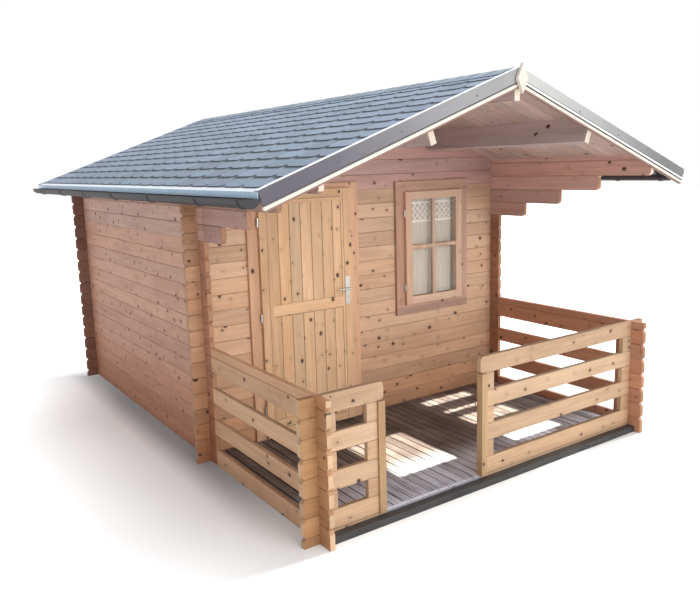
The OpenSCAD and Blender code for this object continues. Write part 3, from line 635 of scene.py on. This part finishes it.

# %% [markdown]
# Shingles.
# The roof has bitumen shingles cut to half hexagons: each course is one strip whose
# lower edge is a row of tabs, and every second course is moved by half a tab. The
# two strips are drawn once, tilted by the thickness that they lap over, and the row
# tree lets them take turns up the slope. The finish finds the lap line again from
# the same sizes, and paints a shadow line on the granules just under each edge.

# %% Sizes of the shingles
TABS = 21
SHINGLE_FRONT, SHINGLE_BACK = BOARD_FRONT + 0.025, BOARD_BACK - 0.025
TAB = (SHINGLE_BACK - SHINGLE_FRONT) / TABS
TAB_CUT = 0.032
LAP = 0.145
STRIP = 0.193
STRIP_T = 0.0034
STRIP_OFF = 0.0194
COURSES = 13
LOWEST = 1.938
STARTER = [(0.003, 0.0213), (0.003, 0.0234), (0.08, 0.0218), (0.08, 0.0213)]
print("tab", round(TAB, 3), "m wide,", COURSES, "courses of", LAP, "m")

# %% The shingle finish
def shingle_finish():
    granules = Finish("shingle_granules")
    x, y, z = granules.place()
    down = abs(x) * FALL_X + (RIDGE_Z - z) * FALL_Z
    course = granules.node("ShaderNodeAttribute", {"attribute_name": "piece"}, out="Fac")
    tab_row = (y - SHINGLE_FRONT) / TAB
    own = math.floor(tab_row + (course % 2.0) * 0.5)
    upper = tab_row + ((course + 1.0) % 2.0) * 0.5
    upper = abs(upper - math.floor(upper) - 0.5) * TAB
    cut = upper - (TAB / 2 - TAB_CUT)
    cut = cut.math("MAXIMUM", cut, 0.0)
    below_lap = down - (LOWEST - LAP) + course * LAP + cut
    first, second, _ = granules.luck(own, course, x > 0.0)
    speck = granules.noise(granules.where, 420.0, 2.0, 0.7)
    patch = granules.noise(granules.where, 2.2, 3.0)
    colour = granules.mix(speck * 0.9 + 0.05, (0.165, 0.217, 0.305), (0.35, 0.44, 0.58))
    # Darker towards the eave.
    toward_eave = granules.step(down, 0.4, 1.9) * 0.13
    colour = granules.shade(0.68 + first * 0.24 + patch * 0.2 - toward_eave, colour)
    colour = granules.mix(second * 0.14, colour, (0.17, 0.2, 0.25))
    # A painted shadow line on the granules just under each lap edge.
    line = granules.step(below_lap, 0.038, 0.014)
    colour = granules.mix(line * 0.95, colour, (0.02, 0.03, 0.045))
    edge = granules.step(granules.facing()[2], 0.6, 0.3)
    colour = granules.mix(edge * 0.85, colour, (0.03, 0.035, 0.045))
    return granules.done(colour, 0.86 - speck * 0.1, speck, 0.45, 0.0012)


shingle_coat = shingle_finish()

# %% The shingle courses
def comb(half_start):
    """Outline of a strip: y along the ridge, and the distance up from its lowest edge."""
    flat = (TAB - 2 * TAB_CUT) / 2
    lower = []
    for k in range(TABS + (1 if half_start else 0)):
        mid = SHINGLE_FRONT + (k + (0.0 if half_start else 0.5)) * TAB
        lower += [(mid - TAB / 2, TAB_CUT), (mid - flat, 0.0), (mid + flat, 0.0)]
    lower.append((SHINGLE_BACK, TAB_CUT))
    if half_start:
        lower = [(SHINGLE_FRONT, 0.0)] + lower[2:-2] + [(SHINGLE_BACK, 0.0)]
    return lower + [(SHINGLE_BACK, STRIP), (SHINGLE_FRONT, STRIP)]


def strip(hand, half_start):
    def put(y, up, t):
        return on_slope(hand, LOWEST - up, y, STRIP_OFF + (STRIP - up) * STRIP_T / LAP + t)
    return pushed(comb(half_start), put, (0.0, STRIP_T))


for hand, side_name in ((-1, "left"), (1, "right")):
    strips = [strip(hand, False), strip(hand, True)]
    both = solid("shingle_strips", *strips)
    kind = both.attributes.new("kind", "INT", "POINT")
    kind.data.foreach_set("value", [k for k in (0, 1) for _ in strips[k][0]])
    up_one = (-hand * LAP * FALL_X, 0.0, LAP * FALL_Z)
    courses = row_of(both, shingle_coat, COURSES, up_one, 2)
    add_piece(courses, side_name + "_shingle_courses", "shingles", side_name + "_shingles")

    def lay(up, off, y, hand=hand):
        return on_slope(hand, LOWEST - up, y, off)
    starter = pushed(STARTER, lay, (SHINGLE_FRONT, SHINGLE_BACK))
    add_piece(solid("starter", starter), side_name + "_starter_strip", "shingles", material=shingle_coat)

# %% [markdown]
# Ridge shingles.
# Single pieces bent over the ridge close the top, each lapping over the next. One
# bent piece with its two flaps, tilted along the ridge by its own thickness, is
# repeated from back to front.

# %% Ridge shingles
CAPS = 32
CAP_STEP = (SHINGLE_BACK - SHINGLE_FRONT) / CAPS
CAP_FLAP = 0.135
CAP_T = 0.002


def ridge_finish():
    granules = Finish("ridge_granules")
    cap = granules.node("ShaderNodeAttribute", {"attribute_name": "piece"}, out="Fac")
    y = granules.place()[1]
    first, _, _ = granules.luck(cap, 7.0, 0.0)
    speck = granules.noise(granules.where, 420.0, 2.0, 0.7)
    colour = granules.mix(speck * 0.9 + 0.05, (0.16, 0.205, 0.27), (0.34, 0.415, 0.515))
    colour = granules.shade(0.82 + first * 0.3, colour)
    # A painted shadow line at each lap.
    lap = (y - SHINGLE_FRONT) / CAP_STEP
    lap = (lap - math.floor(lap)) * CAP_STEP
    colour = granules.mix(granules.step(lap, 0.02, 0.0) * 0.6, colour, (0.04, 0.05, 0.065))
    return granules.done(colour, 0.86 - speck * 0.1, speck, 0.45, 0.0012)


def bent_cap():
    length = CAP_STEP * 1.6
    low, off = STRIP_OFF + STRIP_T + 0.0007, STRIP_OFF + 2.0 * STRIP_T + 0.0005
    outline = [on_slope(-1, CAP_FLAP, 0, off), (0.0, 0.0, RIDGE_Z + low / FALL_X),
               on_slope(1, CAP_FLAP, 0, off), on_slope(1, CAP_FLAP, 0, off + CAP_T),
               (0.0, 0.0, RIDGE_Z + (low + CAP_T) / FALL_X), on_slope(-1, CAP_FLAP, 0, off + CAP_T)]

    def put(x, z, y):
        return x, min(SHINGLE_FRONT + y, SHINGLE_BACK), z + (length - y) * CAP_T / CAP_STEP
    return pushed([(x, z) for x, y, z in outline], put, (0.0, length))


caps = row_of(solid("ridge_shingle", bent_cap()), ridge_finish(), CAPS, (0.0, CAP_STEP, 0.0))
for point in caps.vertices:
    point.co.y = min(point.co.y, SHINGLE_BACK)
add_piece(caps, "ridge_shingles", "shingles", "ridge_cap")

# %% [markdown]
# Ribbed deck boards.
# The terrace has dark oiled boards with fine ribs along their length, which give a
# grip in the wet. The ribs are real shape, since they catch the light along the
# whole deck, and each board lies a fraction higher or lower than the next. Near the
# way in, the finish has a pale bluish painted reflection in patches, and the grooves
# and the boards' sides are darkened as painted shade.

# %% The deck finish
DECK_LOW, DECK_TOP = 0.032, 0.06
RIBS, RIB_DEEP = 5, 0.0018
SHEEN_FROM, SHEEN_TO = -0.95, -1.35


def deck_finish(name, dark, tint, ribs):
    oiled = Finish(name)
    x, y, z = oiled.place()
    board = oiled.node("ShaderNodeAttribute", {"attribute_name": "piece"}, out="Fac")
    first, second, _ = oiled.luck(board, 3.0, 0.0)
    run, rise = (y, x) if ribs else (x, y)
    streak = oiled.noise(oiled.vector(run * 3.0 + first * 20.0, rise * 60.0, z * 60.0), 1.0, 3.0)
    cloud = oiled.noise(oiled.where, 2.6, 4.0, 0.6)
    colour = oiled.mix(oiled.step(streak * 0.6 + cloud * 0.6, 0.45, 0.85), dark, tint)
    colour = oiled.shade(0.8 + second * 0.4, colour)
    if ribs:
        # A pale bluish painted reflection in patches near the way in.
        painted_sheen = oiled.step(y, SHEEN_FROM, SHEEN_TO) * oiled.step(cloud * 0.5 + streak * 0.5, 0.31, 0.51)
        colour = oiled.mix(painted_sheen * 0.94, colour, (0.74, 0.77, 0.88))
        # Painted shade in the rib grooves and on the boards' sides below the top.
        low = oiled.step(z, DECK_TOP - 0.0002, DECK_TOP - 0.0015)
        colour = oiled.mix(low * 0.6, colour, (0.02, 0.014, 0.012))
    return oiled.done(colour, 0.56 - cloud * 0.26, streak, 0.3, 0.001)


DECK_DARK, DECK_WORN = (0.10, 0.073, 0.07), (0.27, 0.222, 0.21)
deck_coat = deck_finish("deck_oil", DECK_DARK, DECK_WORN, True)
dress(deck_finish("threshold_oil", DECK_DARK, DECK_WORN, False), "door_threshold", "bearers")
dress(deck_finish("dark_stain", (0.02, 0.02, 0.022), (0.05, 0.049, 0.053), False), "terrace_sill")

# %% Deck and floor boards
INNER_X = 1.466
DECK_FRONT, DECK_BACK, SILL_BACK = -1.513, -0.017, -1.547
DECK_BOARDS, DECK_GAP = 38, 0.007
DECK_PITCH = 2 * INNER_X / DECK_BOARDS
ENTRY_X = -1.015, -0.195


def ribbed(width):
    """Outline of a ribbed board, from its left edge."""
    rib = width / RIBS
    upper = [(0.0, DECK_TOP - 2 * RIB_DEEP)]
    for k in range(RIBS):
        upper += [(rib * (k + a), DECK_TOP - RIB_DEEP * b)
                  for a, b in ((0.12, 0), (0.68, 0), (0.8, 1), (1.0, 1))]
    upper[-2:] = [(width, DECK_TOP - 2 * RIB_DEEP)]
    return [(width, DECK_LOW), (0.0, DECK_LOW)] + upper


def put_deck(x, z, y):
    return x - INNER_X + DECK_GAP / 2, y, z


deck_board = solid("deck_board", pushed(ribbed(DECK_PITCH - DECK_GAP), put_deck, (DECK_FRONT, DECK_BACK)))
deck = row_of(deck_board, deck_coat, DECK_BOARDS, (DECK_PITCH, 0.0, 0.0), 1, (0.0, 0.0, 0.0008), 4)
add_piece(deck, "deck_boards", "deck_wood", "terrace_deck")

entry_board = [(SILL_BACK, DECK_LOW), (DECK_FRONT - 0.002, DECK_LOW),
               (DECK_FRONT - 0.002, DECK_TOP - 0.002), (DECK_FRONT - 0.005, DECK_TOP),
               (SILL_BACK + 0.004, DECK_TOP), (SILL_BACK, DECK_TOP - 0.004)]
nosing = solid("entry_nosing", pushed(entry_board, lambda y, z, x: (x, y, z), ENTRY_X))
add_piece(nosing, "entry_nosing", "deck_wood", material=deck_coat)

FLOOR_FRONT, FLOOR_BACK, FLOOR_BOARDS = 0.017, 2.949, 30
FLOOR_W = (FLOOR_BACK - FLOOR_FRONT) / FLOOR_BOARDS
floor_outline = [(0.0, DECK_LOW), (FLOOR_W, DECK_LOW), (FLOOR_W, DECK_TOP - 0.003),
                 (FLOOR_W - 0.003, DECK_TOP), (0.003, DECK_TOP), (0.0, DECK_TOP - 0.003)]
floor_board = solid("floor_board", pushed(floor_outline, lambda y, z, x: (x, FLOOR_FRONT + y, z),
                                          (-INNER_X, INNER_X)))
add_piece(row_of(floor_board, floor_wood, FLOOR_BOARDS, (0.0, FLOOR_W, 0.0)), "floor_boards",
          "pine_beams", "cabin_floor")

# %% [markdown]
# Metal.
# The verges and eaves are folded from pale coated sheet, the gutters are dark coated
# half rounds, and the door furniture is satin steel. None of them is quite even:
# sheet metal shows soft cloudy patches and streaks where water runs off, and the
# steel has fine brush lines. Light is painted on the sheet too: faces that look up
# are paler as a painted highlight, and the verges paling towards the ridge and the
# left verge being darker than the right are painted reflections. The right verge
# ends in a hem under a crease, the hem bright as a painted highlight and the crease
# dark as painted shade, and both verges have painted shade under the sheet's end.
# A few dark screws hold both. They were set by eye on the real verge, so each is
# placed by itself and not by the row tree.

# %% Metal finishes
def sheet_finish(name, colour, dusty, roughness, metallic, top_highlight=0.7):
    metal = Finish(name)
    x, y, z = metal.place()
    cloud = metal.noise(metal.where, 3.0, 4.0, 0.6)
    run = metal.noise(metal.vector(x * 4.0, y * 60.0, z * 4.0), 1.0, 3.0)
    grit = metal.noise(metal.where, 260.0, 1.0)
    tone = metal.mix(metal.step(cloud * 0.6 + run * 0.4, 0.35, 0.68), colour, dusty)
    tone = metal.shade(0.94 + grit * 0.12, tone)
    # Faces that look up are paler: a painted highlight.
    lit_top = metal.step(metal.facing()[2], 0.6, 0.85) * top_highlight
    tone = metal.mix(lit_top, tone, (0.78, 0.8, 0.83))
    return metal.done(tone, roughness + cloud * 0.18, grit, 0.08, 0.0006, Metallic=metallic)


def brushed_finish(name):
    steel = Finish(name)
    x, y, z = steel.place()
    brush = steel.noise(steel.vector(x * 900.0, y * 900.0, z * 40.0), 1.0, 2.0)
    dull = steel.noise(steel.where, 30.0, 2.0)
    tone = steel.mix(brush, (0.52, 0.52, 0.51), (0.74, 0.74, 0.73))
    return steel.done(tone, 0.2 + brush * 0.16 + dull * 0.1, brush, 0.06, 0.0004, Metallic=1.0)


HEM, SHEET_END = -0.038, -0.0525  # heights off the slope on a verge's metal


def verge_finish(name, low, high, painted_hem):
    """Coated sheet, paler up the slope as a painted reflection; with painted_hem 1, a hem under a crease,
    with a painted highlight on the hem and painted shade in the crease.
    """
    metal = Finish(name)
    x, _, z = metal.place()
    down = abs(x) * FALL_X + (RIDGE_Z - z) * FALL_Z
    off = abs(x) * FALL_Z + (z - RIDGE_Z) * FALL_X
    cloud = metal.noise(metal.where, 4.0, 4.0, 0.6)
    grit = metal.noise(metal.where, 260.0, 1.0)
    # Paler up the slope: a painted reflection.
    up = metal.step(down, 1.9, 0.1)
    tone = metal.shade(0.84 + cloud * 0.32, metal.mix(up, low, high))
    # The hem is painted bright: a painted highlight.
    hem = metal.step(off, HEM + 0.0005, HEM - 0.0025) * painted_hem
    tone = metal.mix(hem, tone, (0.86, 0.86, 0.87))
    # Painted shade in the crease and under the sheet's end.
    crease_shade = metal.step(abs(off - HEM), 0.0034, 0.0014) * 0.85 * painted_hem
    crease_shade = crease_shade.math("MAXIMUM", crease_shade, metal.step(off, SHEET_END, SHEET_END - 0.002))
    tone = metal.mix(crease_shade, tone, (0.035, 0.035, 0.04))
    # Faces that look up are paler: a painted highlight.
    tone = metal.mix(metal.step(metal.facing()[2], 0.6, 0.85), tone, (0.84, 0.86, 0.89))
    return metal.done(tone, 0.36 + cloud * 0.16, grit, 0.08, 0.0006, Metallic=0.15)


# The left verge is darker than the right one: a painted reflection.
dress(verge_finish("left_verge_sheet", (0.085, 0.08, 0.105), (0.315, 0.315, 0.33), 0.0),
      "left_verge_flashings")
dress(verge_finish("right_verge_sheet", (0.165, 0.172, 0.175), (0.49, 0.5, 0.5), 1.0),
      "right_verge_flashings")
dress(sheet_finish("eave_sheet", (0.43, 0.58, 0.75), (0.52, 0.69, 0.87), 0.3, 0.2), "eave_flashings")
dress(sheet_finish("dark_coat", (0.016, 0.016, 0.021), (0.03, 0.029, 0.035), 0.5, 0.0, 0.0),
      "gutters", "gutter_brackets")
steel = brushed_finish("satin_steel")
screw_steel = sheet_finish("screw_steel", (0.05, 0.05, 0.055), (0.3, 0.3, 0.3), 0.3, 0.6, 0.0)
dress(steel, "hinge_pins", "hinge_barrels", "handle_plates", "door_lever")

# %% Verge screws
SCREW_R, SCREW_H = 0.007, 0.004
SCREWS = {-1: (0.40, 1.02, 1.48), 1: (0.634, 1.09, 1.77)}
FACE_FRONT, FACE_BACK = (corner.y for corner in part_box("left_verge_flashings"))
FACE_OFF, LIP = -0.02, 0.005


def domed(centre, axis_y):
    """A screw with a round head on a washer; it looks along axis_y, which is -1 or 1."""
    shares = ((1.0, -0.5), (1.0, 0.25), (0.7, 0.3), (0.62, 0.7), (0.3, 1.0))
    rings = [(SCREW_R * r, SCREW_H * h) for r, h in shares]
    return lathed(rings, lambda a, b, h: (centre[0] + a, centre[1] + axis_y * h, centre[2] + b), 12)


for hand, side_name in ((-1, "left"), (1, "right")):
    heads = [domed(on_slope(hand, down, face, FACE_OFF), out) for down in SCREWS[hand]
             for face, out in ((FACE_FRONT + LIP, -1), (FACE_BACK - LIP, 1))]
    add_piece(solid("screws", *heads), side_name + "_verge_screws", "bright_steel", material=screw_steel)

# %% [markdown]
# The window.
# The sash has a cross of glazing bars in front of the pane, two small hinges on its
# left edge, and clear glass. The bars are one outline with a bevelled front, which
# could also be two beams, but a single cross has no faces hidden in its middle.

# %% Glazing bars and window hinges
BAR_X, BAR_Z, BAR_HALF = 0.72, 1.458, 0.019
BAR_BACK, BAR_EDGE, BAR_FRONT = -0.0355, -0.056, -0.061


def cross(inset):
    half = BAR_HALF - inset
    x0, x1, z0, z1 = PANE_X[0], PANE_X[1], PANE_Z[0], PANE_Z[1]
    left, right, low, high = BAR_X - half, BAR_X + half, BAR_Z - half, BAR_Z + half
    return [(left, z0), (right, z0), (right, low), (x1, low), (x1, high), (right, high),
            (right, z1), (left, z1), (left, high), (x0, high), (x0, low), (left, low)]


loops = [[(x, y, z) for x, z in cross(inset)]
         for inset, y in ((0.0, BAR_BACK), (0.0, BAR_EDGE), (0.005, BAR_FRONT))]
add_piece(solid("bars", skinned(loops)), "window_bars", "pine_door", material=sash_wood)

HINGE_X, HINGE_Y, HINGE_Z = 0.388, -0.058, (1.110, 1.759)
barrel = [(0.002, -0.031), (0.005, -0.029), (0.005, -0.026), (0.0065, -0.025), (0.0065, -0.001),
          (0.0058, 0.0), (0.0065, 0.001), (0.0065, 0.025), (0.005, 0.026), (0.005, 0.029), (0.002, 0.031)]
window_hinge = lathed(barrel, lambda a, b, h: (HINGE_X + a, HINGE_Y + b, HINGE_Z[0] + h), 14)
hinge_row = row_of(solid("window_hinge", window_hinge), steel, 2, (0.0, 0.0, HINGE_Z[1] - HINGE_Z[0]))
add_piece(hinge_row, "window_hinges", "bright_steel")

# %% The pane
def glass_finish():
    pane = Finish("pane_glass")
    smear = pane.noise(pane.where, 7.0, 3.0)
    tone = pane.mix(smear, (0.70, 0.74, 0.72), (0.80, 0.83, 0.81))
    return pane.done(tone, 0.03 + smear * 0.05, Alpha=0.03 + smear * 0.06, IOR=1.5)


dress(glass_finish(), "window_glass")

# %% [markdown]
# The net curtain.
# A light net hangs behind the pane, gathered into shallow folds, with a woven band
# of diamonds below the heading. Cloth could be simulated, but folds this shallow
# between two fixed edges come out the same from a wave, and a wave keeps the
# cloth's length exact. The net's openings are in its Alpha, read from the piece's
# own map, which counts metres of flat cloth.

# %% The net finish
def net_finish():
    net = Finish("net_lace")
    flat = net.node("ShaderNodeUVMap", {"uv_map": "cloth"})
    u, v, _ = net.split(flat)

    def thread(value, pitch, width):
        return net.step(abs((value / pitch) % 1.0 - 0.5), width, width * 0.6)
    mesh_of = thread(u, 0.004, 0.34)
    mesh_of = mesh_of.math("MAXIMUM", mesh_of, thread(v, 0.004, 0.34))
    diamond = abs((u / 0.06) % 1.0 - 0.5) + abs((v / 0.057 + 0.2) % 1.0 - 0.5)
    band = between(v, 0.71, 0.86)
    figure = net.step(abs(diamond - 0.5), 0.14, 0.08) * band
    dot = net.step(diamond, 0.16, 0.1) * band
    border = net.step(abs(v - 0.703), 0.011, 0.008) + net.step(abs(v - 0.866), 0.009, 0.006)
    hem = (v < 0.03) + (v > 0.895)
    thick = figure + dot + border + hem
    thick = thick.math("MINIMUM", thick, 1.0)
    fold = net.noise(net.vector(u * 18.0, v * 1.5, 0.0), 1.0, 2.0)
    tone = net.mix(thick, (0.66, 0.585, 0.5), (0.86, 0.83, 0.77))
    tone = net.mix(band * (1.0 - thick) * 0.5, tone, (0.5, 0.42, 0.35))
    tone = net.shade(0.85 + fold * 0.3, tone)
    weave = mesh_of * 0.2 + 0.76
    cover = weave + thick * (0.96 - weave)
    return net.done(tone, 0.85, mesh_of, 0.2, 0.0004, Alpha=cover)


# %% The hanging net
CURTAIN_X, CURTAIN_Z, CURTAIN_Y = (0.412, 1.028), (0.973, 1.886), 0.011
FOLDS, FOLD_DEEP = 13, 0.0042
ACROSS, DOWN = 208, 24


def net_y(x, z):
    share = (x - CURTAIN_X[0]) / (CURTAIN_X[1] - CURTAIN_X[0])
    swing = math.sin(TURN * FOLDS * share + 0.5 * math.sin(TURN * 2.3 * share + 2.0 * z))
    return CURTAIN_Y + FOLD_DEEP * swing * (0.75 + 0.25 * math.cos(5.0 * share + 1.5 * z))


def net_mesh():
    mesh = bpy.data.meshes.new("net")
    xs = [CURTAIN_X[0] + (CURTAIN_X[1] - CURTAIN_X[0]) * k / ACROSS for k in range(ACROSS + 1)]
    zs = [CURTAIN_Z[0] + (CURTAIN_Z[1] - CURTAIN_Z[0]) * k / DOWN for k in range(DOWN + 1)]
    points = [(x, net_y(x, z), z) for z in zs for x in xs]
    wide = ACROSS + 1
    faces = [(r * wide + c, r * wide + c + 1, (r + 1) * wide + c + 1, (r + 1) * wide + c)
             for r in range(DOWN) for c in range(ACROSS)]
    mesh.from_pydata(points, [], faces)
    mid = DOWN // 2 * wide
    length = [0.0]
    for c in range(ACROSS):
        length.append(length[-1] + (Vector(points[mid + c + 1]) - Vector(points[mid + c])).length)
    cloth = mesh.uv_layers.new(name="cloth")
    for corner in mesh.loops:
        r, c = divmod(corner.vertex_index, wide)
        cloth.data[corner.index].uv = (length[c], zs[r] - zs[0])
    mesh.polygons.foreach_set("use_smooth", [True] * len(mesh.polygons))
    return mesh, length[-1], zs[-1] - zs[0]


net, net_w, net_h = net_mesh()
curtain = add_piece(net, "hanging_net", "net_curtain", "net_curtain", material=net_finish())
print("net cut", round(net_w, 3), "by", round(net_h, 3), "m, hung", round(CURTAIN_X[1] - CURTAIN_X[0], 3))

# %% [markdown]
# Light and ground.
# The sun stands high to the right and leaves the left wall in open shade. A wide soft
# light from the front stands for the open sky there, and the pale ground throws much
# of the light up under the roof. The sun reaches the deck only in hard flecks, and
# those are drawn by narrow beams that fall straight down. The ground keeps the
# shadow, deepened by painted shadow in a darker ground colour close to the left wall,
# and pales to white away from the house. The camera sees the rest as white through
# the Light Path node, and from below the ground is clear, so that the underside can
# be looked at.

# %% Sun, soft front light and flecks
def lamp(name, energy, spread, heading, colour):
    light = bpy.data.lights.new(name, "SUN")
    light.energy = energy
    light.angle = math.radians(spread)
    light.color = colour
    holder = bpy.data.objects.new(name, light)
    scene.collection.objects.link(holder)
    holder.rotation_euler = Vector(heading).to_track_quat("-Z", "Y").to_euler()
    print(name, energy)


FLECK, FLECK_Z = 27.0, 1.6


def fleck(x0, x1, y0, y1):
    """A narrow beam that falls straight down on the deck."""
    beam = bpy.data.lights.new("fleck", "AREA")
    beam.shape = "RECTANGLE"
    beam.size, beam.size_y = x1 - x0, y1 - y0
    beam.spread = math.radians(2.0)
    beam.energy = FLECK * beam.size * beam.size_y
    beam.color = (1.0, 0.99, 0.82)
    holder = bpy.data.objects.new("fleck", beam)
    scene.collection.objects.link(holder)
    holder.location = ((x0 + x1) / 2, (y0 + y1) / 2, FLECK_Z)
    holder.visible_camera = False
    holder.visible_glossy = False


lamp("sun", 2.6, 8.0, (-0.584, 0.02, -0.811), (1.0, 0.95, 0.87))
lamp("front", 1.9, 50.0, (-0.12, 0.95, -0.27), (1.0, 0.965, 0.91))
fleck(-0.63, -0.11, -1.215, -0.577)
for back, front in ((-0.135, -0.25), (-0.43, -0.48), (-0.61, -0.805), (-1.115, -1.245)):
    fleck(0.485, 1.01, front, back)

# %% The sky
SKY = 0.68
world = bpy.data.worlds.new("sky")
world.use_nodes = True
scene.world = world
air = Nodes(world.node_tree)
path = air.node("ShaderNodeLightPath")
seen = path.out("Is Camera Ray") + path.out("Is Glossy Ray") + path.out("Is Transmission Ray")
seen = seen.math("MINIMUM", seen, 1.0)
dim = air.node("ShaderNodeBackground", None, {"Color": (0.93, 0.96, 1.0), "Strength": SKY})
white = air.node("ShaderNodeBackground", None, {"Color": (1.0, 1.0, 1.0), "Strength": 1.0})
mixed = air.node("ShaderNodeMixShader", None, {0: seen, 1: dim, 2: white})
air.node("ShaderNodeOutputWorld", None, {"Surface": mixed})
print("sky", SKY)

# %% The ground
FOOT_X, FOOT_Y, FOOT_MID = 1.6, 2.2, 0.7  # half sizes and middle of the house on the ground
WIDE, SUNK = 40, -0.001
ground_mesh = bpy.data.meshes.new("ground")
corners = [(a * WIDE, b * WIDE, SUNK) for a, b in ((-1, -1), (1, -1), (1, 1), (-1, 1))]
ground_mesh.from_pydata(corners, [], [(0, 1, 2, 3)])
ground = bpy.data.objects.new("ground", ground_mesh)
scene.collection.objects.link(ground)
pale = Finish("pale_ground")
path = pale.node("ShaderNodeLightPath")
x, y, z = pale.place()
aside, along = abs(x) - FOOT_X, abs(y - FOOT_MID) - FOOT_Y
away = aside.math("MAXIMUM", aside, along)
sooner = pale.step(y, 1.2, 3.0) * 0.55 + pale.step(y, -0.7, -1.7) * 0.3
fade = pale.step(away + sooner, 0.0, 1.8)
# Painted shadow: the ground's own colour is darker close to the left wall.
painted_shadow_mask = pale.step(away, 0.25, -0.05) * pale.step(y, -1.7, -0.2) * (x < 0.5)
painted_shadow_tone = pale.mix(painted_shadow_mask, (0.9, 0.9, 0.9), (0.36, 0.36, 0.37))
lit = pale.node("ShaderNodeBsdfDiffuse", None, {"Color": painted_shadow_tone})
strength = path * (fade * 0.7 + 0.03)
glow = pale.node("ShaderNodeEmission", None, {"Color": (1.0, 1.0, 1.0), "Strength": strength})
both = pale.node("ShaderNodeAddShader", None, {0: lit, 1: glow})
under = pale.node("ShaderNodeNewGeometry", out="Backfacing")
clear = pale.node("ShaderNodeBsdfTransparent")
both = pale.node("ShaderNodeMixShader", None, {0: under, 1: both, 2: clear})
pale.node("ShaderNodeOutputMaterial", None, {"Surface": both})
ground_mesh.materials.append(pale.material)
print("ground", 2 * WIDE, "m wide")
